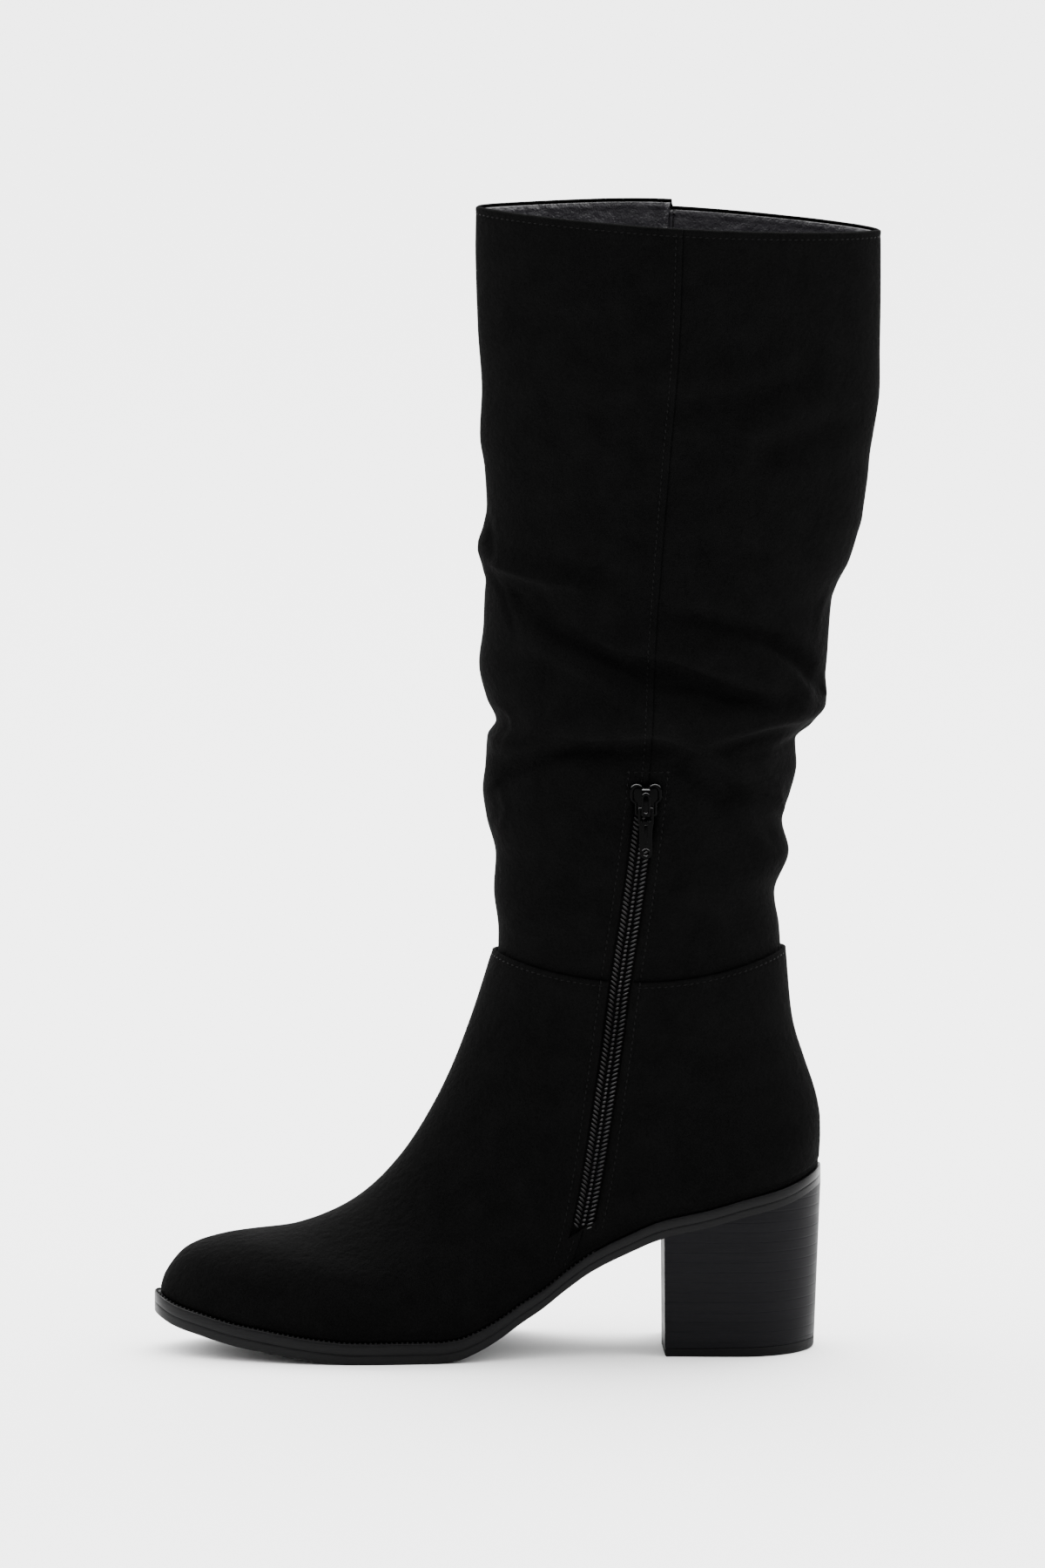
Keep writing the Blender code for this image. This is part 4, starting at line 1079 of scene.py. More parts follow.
@dataclass
class Skin:
    """Relief that the upper and the shaft share: seams, slot edges, creases and hems."""

    leg: Leg = field(default_factory=Leg)
    seam_step: float = 0.0006
    seam_groove: float = 0.00035
    channel_depth: float = 0.00018
    channel_place: float = 0.0023
    channel_width: float = 0.0006
    slot_roll: float = 0.0007
    zip_row: float = 0.0030
    stitch_pitch: float = 0.0025
    outer_seam_shift: float = 0.0034
    seam_puff: float = 0.00012
    slot_puff: float = 0.00018
    heel_radius: float = 0.024

    def seam_distance(self, points: Array) -> Array:
        """Distance behind the seam line, along X, in metres."""
        outer = points[..., 1] > 0
        return points[..., 0] - self.leg.zip_x(points[..., 2]) + self.outer_seam_shift * outer

    def crease_relief(self, points: Array, creases: Sequence[Crease], side: float) -> Array:
        """Height of the listed creases of one side.

        Args:
            points: Grid of places on the leg.
            creases: Creases of that side.
            side: -1 for the inner side, 1 for the outer side.

        Returns:
            Height in metres at each place.
        """
        x = points[..., 0] / MM
        z = points[..., 2] / MM
        here = ramp(points[..., 1] * side, -0.004, 0.006)
        near = here > 0
        x, z = x[near], z[near]
        total = np.zeros(x.shape)
        for crease in creases:
            best = np.full(x.shape, 1e9)
            share = np.zeros(x.shape)
            upper = np.ones(x.shape)
            count = len(crease.path) - 1
            for number, (start, end) in enumerate(zip(crease.path, crease.path[1:])):
                dx, dz = end[0] - start[0], end[1] - start[1]
                part = np.clip(((x - start[0]) * dx + (z - start[1]) * dz) / (dx * dx + dz * dz), 0, 1)
                away = np.hypot(x - start[0] - dx * part, z - start[1] - dz * part)
                nearer = away < best
                best = np.where(nearer, away, best)
                share = np.where(nearer, (number + part) / count, share)
                rise = dx * (z - start[1]) - dz * (x - start[0])
                upper = np.where(nearer, np.sign(rise), upper)
            fade = np.sin(np.clip(share, 0.04, 0.96) * math.pi) ** 0.5
            ratio = best / crease.breadth
            if crease.shape is Shape.OVERHANG:
                below = ratio * np.exp(0.5 - ratio * ratio / 2)
                above = (1 + ROLL_TURN) * ratio / (1 + ROLL_TURN * ratio * ratio) * bell(ratio, ROLL_REACH)
                form = np.where(upper > 0, above, -below)
            else:
                form = bell(ratio, 1.0) - RIDGE_FLANK * bell(ratio - RIDGE_FLANK_PLACE, 1.0)
            total += crease.depth * MM * fade * form
        height = np.zeros(here.shape)
        height[near] = total * here[near]
        return height

    def seam_relief(self, points: Array, zone: Array) -> Array:
        """Step and stitch channel of the seam, where the front panel laps over the back one.

        Args:
            points: Grid of places on the leg.
            zone: Share, 0 to 1, of the seam's relief at each place.

        Returns:
            Height in metres at each place.
        """
        away = self.seam_distance(points)
        step = -self.seam_step * ramp(away, -0.0001, 0.0002) * (1 - ramp(away, 0.002, 0.014))
        channel = -self.channel_depth * bell(away + self.channel_place, self.channel_width)
        groove = -self.seam_groove * bell(away - 0.0003, 0.00022)
        puff = self.seam_puff * bell(away + 0.0010, 0.0008)
        return (step + channel + groove + puff) * zone

    def slot_relief(self, points: Array, zone: Array) -> Array:
        """Rolled edges of the zip's slot and the channels of its two stitch rows."""
        away = np.abs(self.seam_distance(points)) - self.leg.slot_width / 2
        roll = -self.slot_roll * (1 - ramp(away, -0.0001, 0.0011))
        channel = -self.channel_depth * bell(away - self.zip_row, self.channel_width)
        puff = self.slot_puff * bell(away - 0.0022, 0.0016)
        return (roll + channel + puff) * zone

    def ring_angles(
        self, form: Form, rows: Array, near: Sequence[float], far: Sequence[float], counts: tuple,
    ) -> Array:
        """Angles of each row's columns, gathered at the inner and the outer seam.

        Args:
            form: Outer face of the upper or of the shaft.
            rows: Rows of the grid.
            near: Offsets of the columns at the inner seam, in millimetres.
            far: Offsets of the columns at the outer seam, in millimetres.
            counts: Steps front to seam and seam to back.

        Returns:
            Array of angles (rows, columns).
        """
        inner = self.leg.seam_angles(form, rows, np.array(near) * MM)
        outer_places = np.array(far) * MM - self.outer_seam_shift
        outer = 2 * math.pi - self.leg.seam_angles(form, rows, outer_places)[:, ::-1]
        front, back = counts

        def between(start: Array, end: Array, steps: int) -> Array:
            """Even steps from start up to, and without, end."""
            part = np.arange(steps) / steps
            return start[:, None] + (end - start)[:, None] * part[None, :]

        zero = np.zeros(len(rows))
        half = np.full(len(rows), math.pi)
        full = np.full(len(rows), 2 * math.pi)
        return np.concatenate([
            between(zero, inner[:, 0], front), inner[:, :-1],
            between(inner[:, -1], half, back), between(half, outer[:, 0], back),
            outer[:, :-1], between(outer[:, -1], full, front),
        ], axis=1)


# Folds of the lining beside the outer seam: height, place behind the seam and breadth, in metres
LINING_FOLDS = ((0.0018, -0.0035, 0.0016), (0.0022, 0.0050, 0.0020), (0.0012, -0.0110, 0.0030))
# Columns of a skin beside its seams, in millimetres behind the seam line, with one at the slot's edge
SLOT_COLUMN = 4.5
NEAR_OFFSETS = (
    -12, -10.4, -9.2, -8.6, -8.1, -7.8, -7.5, -7.2, -6.9, -6.3, -5.6, -5.2, -4.8, -4.5, -3.7, -3.1,
    -2.7, -2.3, -1.9, -1.5, -1.0, -0.5, -0.12, 0.06, 0.3, 0.55, 0.9, 1.6, 2.5, 3.5, 4.5, 4.8, 5.2,
    5.6, 6.3, 6.9, 7.2, 7.5, 7.8, 8.1, 8.6, 9.2, 10.4, 12,
)
FAR_OFFSETS = (-8, -5, -3.7, -3.1, -2.7, -2.3, -1.9, -1.5, -1.0, -0.5, -0.12, 0.06, 0.3, 0.55, 0.9, 2, 4, 8)


@dataclass
class ShaftSkin(Skin):
    """The slouched shaft: suede outside and lining inside."""

    skin_wall: float = 0.0008
    lining_wall: float = 0.0005
    hem_place: float = 0.0030
    hem_roll: float = 0.0009
    front_rise: float = 0.0026
    crumple_heights: tuple[float, float] = (0.395, 0.425)
    lining_gap: float = 0.00008

    def relief(self, points: Array, up: Array) -> Array:
        """Height of all fine forms at each point of the shaft's grid."""
        zip_zone = 1 - ramp(points[..., 2], self.leg.zip_top - 0.0005, self.leg.zip_top + 0.0015)
        outer_side = points[..., 1] > 0
        seam_zone = np.where(outer_side, 1.0, 1 - zip_zone)
        slot_zone = np.where(outer_side, 0.0, zip_zone)
        total = self.seam_relief(points, seam_zone) + self.slot_relief(points, slot_zone)
        slouch = ramp(up, 0.0, 0.02)
        total += self.crease_relief(points, INNER_CREASES, -1.0) * slouch
        total += self.crease_relief(points, OUTER_CREASES, 1.0) * slouch
        length = (1 - up) * (self.leg.collar_height - self.leg.ankle_side)
        total -= self.channel_depth * bell(length - self.hem_place, self.channel_width)
        total += 0.00010 * bell(length - self.hem_place / 2, 0.0012)
        total -= self.hem_roll * (1 - ramp(length, 0.0, self.hem_roll)) ** 2
        return total

    def panel_rise(self, points: Array, up: Array) -> Array:
        """Extra height of the front panel's rim beside the outer seam."""
        ahead = -self.seam_distance(points)
        there = ramp(ahead, -0.00012, 0.00006) * (1 - ramp(ahead, 0.0, 0.075))
        return self.front_rise * there * ramp(up, 0.86, 1.0) * (points[..., 1] > 0)

    def crumple(self, points: Array) -> Array:
        """Inward height of the lining's soft folds beside the outer seam, under the rim."""
        away = self.seam_distance(points)
        folds = sum(height * bell(away - place, breadth) for height, place, breadth in LINING_FOLDS)
        return folds * ramp(points[..., 2], *self.crumple_heights) * (points[..., 1] > 0)

    def rows(self) -> Array:
        """Rows of the grid, close together in the slouch and at the hem."""
        low = np.linspace(-LAP_ROWS, 0, 4)[:-1]
        slouch = np.linspace(0, 0.62, 168)[:-1]
        calm = np.linspace(0.62, 0.975, 34)[:-1]
        hem = np.array([0.975, 0.980, 0.984, 0.987, 0.989, 0.991, 0.993, 0.995, 0.9965, 0.998, 0.999, 1.0])
        top = self.leg.shaft_row(self.leg.zip_top)
        rows = np.concatenate([low, slouch, calm, hem])
        rows[np.argmin(np.abs(rows - top))] = top
        return np.sort(rows)

    def skin_grid(self, rows: Array, near: Sequence[float], far: Sequence[float], counts: tuple) -> tuple:
        """Grid of the shaft's face with its relief, its normals, and the mask of its quads."""
        angles = self.ring_angles(self.leg.shaft, rows, near, far, counts)
        up = np.broadcast_to(rows[:, None], angles.shape)
        base = self.leg.shaft(up, angles)
        raised = base + normals_of(base) * self.relief(base, up)[..., None]
        raised[..., 2] += self.panel_rise(base, up)
        top = self.leg.shaft_row(self.leg.zip_top)
        first = counts[0] + near.index(-SLOT_COLUMN)
        last = counts[0] + near.index(SLOT_COLUMN)
        keep = np.ones((len(rows) - 1, angles.shape[1]), bool)
        keep[rows[1:] <= top + 1e-9, first:last] = False
        return raised, normals_of(raised), keep

    def build(self, materials: dict[str, bpy.types.Material]) -> list[bpy.types.Object]:
        """Make the outer skin and the lining.

        Args:
            materials: Finished materials by name.

        Returns:
            The pieces.
        """
        grid, normals, keep = self.skin_grid(self.rows(), NEAR_OFFSETS, FAR_OFFSETS, (46, 34))
        mesh = mesh_from_faces("shaft_skin", grid, grid_faces(*grid.shape[:2], keep))
        skin = place_object("shaft_skin", mesh, materials[MICROSUEDE.name])
        add_wall(skin, self.skin_wall)
        settle(skin, BOOT, ["shaft"])

        inside = (grid - normals * (self.skin_wall + self.lining_gap + self.crumple(grid))[..., None])[:-4]
        keep = keep[:-4]
        mesh = mesh_from_faces("shaft_lining", inside, grid_faces(*inside.shape[:2], keep))
        lining = place_object("shaft_lining", mesh, materials[LINING.name])
        add_wall(lining, self.lining_wall)
        settle(lining, BOOT)
        return [skin, lining]


@dataclass
class UpperSkin(Skin):
    """The foot part: vamp and quarter, with the zip's slot and the hem at the ankle."""

    wall: float = 0.0016
    hem_place: float = 0.0019
    hem_roll: float = 0.0007
    back_seam: float = 0.0004
    ripple_height: float = 0.00018

    def depth_below(self, points: Array, angle: Array) -> Array:
        """Depth of each point under the upper's top edge, in metres."""
        edge = self.leg.upper(np.full(angle.shape, float(self.leg.top_row)), angle)
        return edge[..., 2] - points[..., 2]

    def relief(self, points: Array, row: Array, angle: Array) -> Array:
        """Height of all fine forms at each point of the upper's grid."""
        inner = points[..., 1] < self.leg.last.centre_y(points[..., 0])
        zip_zone = ramp(points[..., 2], self.leg.zip_bottom - 0.0015, self.leg.zip_bottom + 0.0005)
        seam_zone = np.where(inner, 1 - zip_zone, 1.0)
        slot_zone = np.where(inner, zip_zone, 0.0)
        total = self.seam_relief(points, seam_zone) + self.slot_relief(points, slot_zone)
        below = self.depth_below(points, angle)
        near_top = row > self.leg.top_row - 1
        hem = -self.channel_depth * bell(below - self.hem_place, self.channel_width)
        hem -= self.hem_roll * (1 - ramp(below, 0.0, self.hem_roll)) ** 2
        total += np.where(near_top, hem, 0.0)
        spread = (angle - math.pi) * self.heel_radius
        total -= self.back_seam * bell(spread, 0.0007) * ramp(row, 0.0, 0.6)
        vamp = ramp(row, 0.4, 1.6) * (1 - ramp(row, 6.0, 8.0))
        ripple = np.sin(points[..., 0] * 90 + points[..., 1] * 60) * np.sin(points[..., 2] * 75 + 1.3)
        return total + self.ripple_height * ripple * vamp

    def rows(self) -> Array:
        """Rows of the grid, close together at the sole and at the hem."""
        rows = np.concatenate([
            np.array([-1.0, -0.5, -0.25]), np.linspace(0, 8.8, 112)[:-1],
            8.8 + 0.2 * np.array([
                0, 0.12, 0.24, 0.34, 0.44, 0.52, 0.6, 0.68, 0.76, 0.84, 0.9, 0.95, 0.98, 1.0,
            ]),
        ])
        low = self.leg.upper_row(self.leg.zip_bottom)
        rows[np.argmin(np.abs(rows - low))] = low
        return np.sort(rows)

    def build(self, materials: dict[str, bpy.types.Material]) -> list[bpy.types.Object]:
        """Make the upper's skin.

        Args:
            materials: Finished materials by name.

        Returns:
            The pieces.
        """
        rows = self.rows()
        counts = (100, 46)
        angles = self.ring_angles(self.leg.upper, rows, NEAR_OFFSETS, FAR_OFFSETS, counts)
        row = np.broadcast_to(rows[:, None], angles.shape)
        base = self.leg.upper(row, angles)
        grid = base + normals_of(base) * self.relief(base, row, angles)[..., None]
        grid[row < 0] = base[row < 0]
        low = self.leg.upper_row(self.leg.zip_bottom)
        first = counts[0] + NEAR_OFFSETS.index(-SLOT_COLUMN)
        last = counts[0] + NEAR_OFFSETS.index(SLOT_COLUMN)
        keep = np.ones((len(rows) - 1, angles.shape[1]), bool)
        keep[rows[:-1] >= low - 1e-9, first:last] = False
        mesh = mesh_from_faces("upper_skin", grid, grid_faces(*grid.shape[:2], keep))
        skin = place_object("upper_skin", mesh, materials[MICROSUEDE.name])
        add_wall(skin, self.wall)
        settle(skin, BOOT, ["upper"])
        return [skin]


def add_wall(item: bpy.types.Object, wall: float) -> None:
    """Give an open skin its wall, inwards from the outer face."""
    solidify = item.modifiers.new("wall", "SOLIDIFY")
    solidify.thickness = wall
    solidify.offset = -1
    solidify.use_even_offset = False
    solidify.use_rim = True


class ProfileRow(NamedTuple):
    """One level of a slab's side: inset from the outline in millimetres, and height share."""

    inset: float
    height: float


MIDSOLE_SIDE = table(
    ProfileRow,
    (0.10, 0.00), (0.00, 0.06), (0.00, 0.35), (0.00, 0.66), (0.06, 0.80), (0.10, 0.88),
    (0.14, 0.94), (0.40, 1.00),
)
OUTSOLE_SIDE = table(
    ProfileRow,
    (0.26, 0.00), (0.08, 0.04), (0.01, 0.10), (0.00, 0.30), (0.00, 0.70), (0.00, 0.94),
    (0.08, 1.00),
)
INSOLE_SIDE = table(
    ProfileRow,
    (0.60, 0.00), (0.10, 0.15), (0.00, 0.40), (0.15, 0.75), (0.60, 0.95), (1.10, 1.00),
)


@dataclass
class Sole:
    """Midsole, outsole, insole, heel and top lift."""

    last: Last = field(default_factory=Last)
    columns: int = 420
    insole_thickness: float = 0.0030
    insole_clearance: float = 0.0009
    upper_wall: float = 0.0016
    wheel_pitch: float = 0.0020
    wheel_end: float = 0.66
    wheel_tooth: tuple[float, float, float] = (0.00058, 0.00055, 0.00080)
    wheel_turn: float = 0.35
    wheel_inset: float = 0.00095
    wheel_sink: float = 0.00015
    heel_top_length: float = 0.0614
    heel_foot_length: float = 0.0585
    foot_width_share: float = 0.92
    top_lift: float = 0.0042
    seat_lap: float = 0.0003
    joint_gap: float = 0.00003
    line_gap: float = 0.00008
    seat_flare: float = 0.00004
    line_round: float = 0.00018

    def slab(
        self, name: str, side: Sequence[ProfileRow], low: Callable, high: Callable, inset: float,
    ) -> bpy.types.Mesh:
        """Closed slab with the sole's outline and a worked side.

        Args:
            name: Name of the mesh.
            side: Levels of the side, bottom to top.
            low: Height of the lower face at x.
            high: Height of the upper face at x.
            inset: How far the slab's edge lies inside the sole's.

        Returns:
            The mesh.
        """
        angles = np.linspace(0, 2 * math.pi, self.columns, endpoint=False)
        levels = []
        for row in side:
            outline = self.last.outline(angles, inset + row.inset * MM)
            x = outline[:, 0]
            z = low(x) + (high(x) - low(x)) * row.height
            levels.append(np.column_stack([outline, z]))
        return self.capped(name, np.array(levels))

    def capped(self, name: str, grid: Array) -> bpy.types.Mesh:
        """Mesh of a ring grid, closed below and above by strips across it and a face at each end."""
        rows, columns = grid.shape[:2]
        faces = grid_faces(rows, columns)
        half = columns // 2
        step = np.arange(1, half - 1)
        across = np.stack([step, step + 1, columns - step - 1, columns - step], axis=-1)
        above = across[:, ::-1] + (rows - 1) * columns
        mesh = mesh_from_faces(name, grid, np.concatenate([faces, across[:, ::-1], above[:, ::-1]]))
        mend(mesh).set_sharp_from_angle(angle=math.radians(SOLE_CRISP))
        return mesh

    def heel_ring(self, height: Array, inset: float) -> Array:
        """Ring of the heel block at a height given as a share at each point.

        Args:
            height: 0 at the floor and 1 at the seat.
            inset: How far the ring lies inside the heel's side.

        Returns:
            Points (n, 3), whose height follows the seat's slope.
        """
        cap = self.last.heel_cap * self.last.sole_length / self.heel_top_length
        turns = np.radians(np.arange(90, 0, -5.0))
        parts = np.concatenate([[0.0], np.linspace(0.02, 1 - cap, 12)[:-1], 1 - cap * (1 - np.cos(turns))])
        parts = np.append(parts, 1.0)
        front = self.last.heel_back - self.heel_top_length
        sides = []
        for inner in (True, False):
            top_x = front + self.heel_top_length * parts
            width = self.last.half_width(top_x, np.full(parts.shape, inner)) * closing(parts, 1e-9, cap)
            width *= self.foot_width_share + (1 - self.foot_width_share) * height
            x = self.heel_foot_length * (parts - 0.5) * (1 - height) + top_x * height
            full = self.last.underside(top_x) + self.seat_lap
            sides.append(np.column_stack([x, -width if inner else width, full * height]))
        ring = np.concatenate([sides[0], sides[1][-2::-1]])
        ahead = np.roll(ring, -1, axis=0) - np.roll(ring, 1, axis=0)
        normal = np.column_stack([ahead[:, 1], -ahead[:, 0], np.zeros(len(ring))])
        normal /= np.linalg.norm(normal, axis=1, keepdims=True)
        return ring - normal * inset

    def block(self, name: str, levels: Sequence[tuple[float, float]]) -> bpy.types.Mesh:
        """Closed heel block from pairs of a height share and an inset."""
        rings = [self.heel_ring(np.array(height), inset) for height, inset in levels]
        grid = np.array(rings)
        rows, columns = grid.shape[:2]
        faces = grid_faces(rows, columns)
        half = (columns - 1) // 2
        step = np.arange(0, half - 1)
        below = np.stack([step, step + 1, columns - step - 2, columns - step - 1], axis=-1)
        above = below[:, ::-1] + (rows - 1) * columns
        mesh = mesh_from_faces(name, grid, np.concatenate([faces, below, above]))
        mend(mesh).set_sharp_from_angle(angle=math.radians(SOLE_CRISP))
        return mesh

    def build(self, materials: dict[str, bpy.types.Material], stamps: StampTree) -> list[bpy.types.Object]:
        """Make every piece of the sole.

        Args:
            materials: Finished materials by name.
            stamps: Tree that sets small shapes along a path.

        Returns:
            The pieces.
        """
        last = self.last
        seat = last.seat_height
        inset = last.margin_toe + self.upper_wall + self.insole_clearance
        start = (self.top_lift + self.line_gap) / seat
        levels = [(start, self.line_round), (start + 0.003, 0.0)]
        levels += [(share, 0.0) for share in np.linspace(0.15, 0.95, 9)]
        levels += [(0.996, -self.seat_flare), (1.0, -0.75 * self.seat_flare)]
        edge = self.top_lift / seat
        lift_levels = [(0.0, 0.0007), (0.006, 0.0002), (0.014, 0.0), (edge - 0.003, 0.0)]
        lift_levels += [(edge, self.line_round)]

        def above_joint(x: Array) -> Array:
            """Height of the midsole's lower face, with a fine line left above the outsole."""
            return last.joint(x) + self.joint_gap

        def sock_low(x: Array) -> Array:
            """Height of the insole's lower face."""
            return last.top(x) + FIT_GAP

        def sock_high(x: Array) -> Array:
            """Height of the insole's upper face."""
            return sock_low(x) + self.insole_thickness

        made = []
        for mesh, finish, slot, node in (
            (self.slab("outsole_edge", OUTSOLE_SIDE, last.underside, last.joint, 0.0),
             SOLE_EDGE, Slot.EDGE, "outsole"),
            (self.slab("midsole_edge", MIDSOLE_SIDE, above_joint, last.top, 0.0),
             SOLE_EDGE, Slot.EDGE, "midsole"),
            (self.slab("insole_sock", INSOLE_SIDE, sock_low, sock_high, inset),
             LINING, Slot.LINING, "insole"),
            (self.block("heel_block", levels), STACK, Slot.STACK, "heel"),
            (self.block("top_lift_block", lift_levels), RUBBER, Slot.RUBBER, "top_lift"),
        ):
            item = place_object(mesh.name, mesh, materials[finish.name])
            settle(item, BOOT, [node])
            made.append(item)
        return [*made, self.wheeling(materials[SOLE_EDGE.name], stamps)]

    def wheeling(self, finish: bpy.types.Material, stamps: StampTree) -> bpy.types.Object:
        """Fine wheeled teeth on the ledge of the sole, from the arch round the toe.

        Args:
            finish: Material of the teeth.
            stamps: Tree that sets small shapes along a path.

        Returns:
            The piece.
        """
        last = self.last
        tooth = bead_stamp("wheel_tooth", [(Vector((0, 0, 0)), Vector(self.wheel_tooth), self.wheel_turn)], 6)
        angles = np.linspace(0, 2 * math.pi, 900)
        outline = last.outline(angles[:-1], self.wheel_inset)
        outline = np.concatenate([outline, outline[:1]])
        path = np.column_stack([outline, last.top(outline[:, 0]) - self.wheel_sink])
        up = np.tile([0.0, 0.0, 1.0], (len(path), 1))
        wheeled = last.along_at(path[:, 0]) < self.wheel_end
        first = int(np.argmin(wheeled))
        order = np.arange(first, first + len(wheeled)) % len(wheeled)
        kept = order[wheeled[order]]
        wheel = stamps.run("welt_wheeling", [(path[kept], up[kept])], tooth, self.wheel_pitch, finish, 0.5)
        bpy.data.objects.remove(tooth)
        settle(wheel, BOOT)
        return wheel


@dataclass
class Zip:
    """Tape, coil, slider and pull."""

    leg: Leg = field(default_factory=Leg)
    tape_width: float = 0.0240
    tape_thickness: float = 0.0006
    tail: float = 0.0050
    coil_width: float = 0.0076
    coil_pitch: float = 0.00173
    coil_side: tuple[float, float, float] = (0.00037, 0.00150, 0.00062)
    coil_middle: tuple[float, float, float] = (0.00048, 0.00078, 0.00066)
    coil_slant: float = 34
    slider_length: float = 0.0130
    slider_width: float = 0.0124
    slider_foot: float = 0.0086
    slider_plate: float = 0.0018
    slider_shoulder: float = 0.0027
    plate_round: float = 0.00086
    rim_thickness: float = 0.0015
    rim_round: float = 0.00072
    neck_width: float = 0.0075
    neck_length: float = 0.0072
    bridge_width: float = 0.0032
    bridge_bar: float = 0.0013
    bridge_space: float = 0.0022
    pull_length: float = 0.0200
    pull_width: float = 0.0060
    pull_thickness: float = 0.0012
    pull_bar: float = 0.0013
    window_width: float = 0.0038
    window_length: float = 0.0042
    hole_radius: float = 0.0009
    rib_width: float = 0.0011
    round_edge: float = 0.00035

    def strip(self, offsets: Array, lift: float) -> tuple[Array, Array]:
        """Points and outward normals along the zip, bottom to top.

        Args:
            offsets: Places across the zip, in metres.
            lift: Distance outside the tape's outer face.

        Returns:
            Two grids (rows, offsets, 3).
        """
        leg = self.leg
        low = leg.upper_row(leg.zip_bottom - self.tail)
        high = leg.shaft_row(leg.zip_top + self.tail)
        behind_upper = leg.upper_wall + leg.soft_gap
        behind_lap = behind_upper + leg.shaft_wall + leg.soft_gap
        tuck = leg.top_row - LAP_ROWS
        below = np.linspace(low, tuck - 0.2, 90)
        depths = behind_upper + (behind_lap - behind_upper) * ramp(below, tuck - 1.6, tuck - 0.5)
        above = np.concatenate([[-LAP_ROWS, -0.15], np.linspace(0, high, 80)])
        behind_shaft = np.full(above.shape, leg.shaft_wall + leg.soft_gap)
        points, normals = [], []
        for form, rows, depth in ((leg.upper, below, depths), (leg.shaft, above, behind_shaft)):
            angle = leg.seam_angles(form, rows, offsets)
            place, normal = face_at(form, rows[:, None], angle)
            points.append(place - normal * (depth[:, None, None] - lift))
            normals.append(normal)
        return np.concatenate(points), np.concatenate(normals)

    def flat(self, name: str, outlines: Sequence, depth: float, place: Matrix, edge: float) -> bpy.types.Mesh:
        """Mesh of a flat outline with holes and rounded edges, set in place.

        Args:
            name: Name of the mesh.
            outlines: Closed outlines, the first one the outer.
            depth: Full thickness.
            place: Matrix that turns and moves it.
            edge: Radius of the rounded edges.

        Returns:
            The mesh.
        """
        curve = bpy.data.curves.new(name, "CURVE")
        curve.dimensions = "2D"
        curve.fill_mode = "BOTH"
        curve.extrude = depth / 2 - edge
        curve.bevel_depth = edge
        curve.offset = -edge
        curve.bevel_resolution = 2
        for outline in outlines:
            spline = curve.splines.new("POLY")
            spline.points.add(len(outline) - 1)
            spline.use_cyclic_u = True
            for point, (across, up) in zip(spline.points, outline):
                point.co = (across, up, 0, 1)
        guide = bpy.data.objects.new(name, curve)
        bpy.context.scene.collection.objects.link(guide)
        bpy.context.view_layer.update()
        mesh = bpy.data.meshes.new_from_object(guide.evaluated_get(bpy.context.evaluated_depsgraph_get()))
        bpy.data.objects.remove(guide)
        mesh.transform(place)
        return mend(mesh, MERGE)

    def slider_mesh(self) -> bpy.types.Mesh:
        """Slider: shouldered plate, the neck behind it and the bridge."""
        low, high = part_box("zip_slider")
        middle = Vector(((low[0] + high[0]) / 2, high[1], (low[2] + high[2]) / 2))
        plate_out = self.plate_face()
        half = self.slider_length / 2
        wide = self.slider_width / 2
        foot = self.slider_foot / 2
        shoulder = self.slider_shoulder
        outline = arc((wide - shoulder, half - shoulder), shoulder, 0, 128, 11)
        outline += [(0.0, half - 0.0018)]
        outline += arc((shoulder - wide, half - shoulder), shoulder, 52, 180, 11)
        outline += [(-wide, 0.0012), (-wide * 0.93, -0.0002), (-foot, -0.0016)]
        outline += arc((0.0012 - foot, 0.0012 - half), 0.0012, 180, 270, 6)
        outline += arc((foot - 0.0012, 0.0012 - half), 0.0012, 270, 360, 6)
        outline += [(foot, -0.0016), (wide * 0.93, -0.0002), (wide, 0.0012)]
        facing = Matrix.Rotation(math.radians(90), 4, "X")
        centre = Vector((middle.x, plate_out + self.slider_plate / 2, middle.z))
        plate = self.flat(
            "slider_plate", [outline], self.slider_plate, Matrix.Translation(centre) @ facing,
            self.plate_round,
        )
        rim_outline = [(x * 0.99, z * 0.985) for x, z in outline]
        inner_rim = [(x * 0.74, z * 0.76) for x, z in outline]
        rim_centre = Vector((middle.x, plate_out - 0.00005, middle.z))
        rim = self.flat(
            "slider_rim", [rim_outline, inner_rim], self.rim_thickness,
            Matrix.Translation(rim_centre) @ facing, self.rim_round,
        )
        beside, end = self.neck_width / 2, self.neck_length / 2
        neck_outline = [(beside, end), (-beside, end), (-beside, -end), (beside, -end)]
        neck_depth = high[1] - plate_out - 0.0004
        neck_centre = Vector((middle.x, high[1] - neck_depth / 2, middle.z))
        neck = self.flat(
            "slider_neck", [neck_outline], neck_depth, Matrix.Translation(neck_centre) @ facing, 0.0003,
        )
        tall = self.bridge_space + self.bridge_bar
        space = self.bridge_space
        bar = self.bridge_bar
        sink = -self.slider_plate / 2
        bridge = [
            (-half, sink), (-half, tall - bar), (-half + bar * 0.3, tall - bar * 0.3), (-half + bar, tall),
            (half * 0.62, tall), (half * 0.74, tall - bar * 0.4), (half - bar, sink),
            (half - 2.4 * bar, sink), (half / 3 - bar, space), (bar - half, space), (bar - half, sink),
        ]
        side_on = Matrix(((0, 0, 1, 0), (0, -1, 0, 0), (1, 0, 0, 0), (0, 0, 0, 1)))
        arch_place = Matrix.Translation((middle.x, plate_out, middle.z)) @ side_on
        arch = self.flat("slider_bridge", [bridge], self.bridge_width, arch_place, 0.0004)
        wide_eye = self.bridge_width / 2 + 0.0001
        eye = arc((0, 0.0034 - wide_eye), wide_eye, 0, 180, 10)
        eye += arc((0, wide_eye - 0.0058), wide_eye, 180, 360, 10)
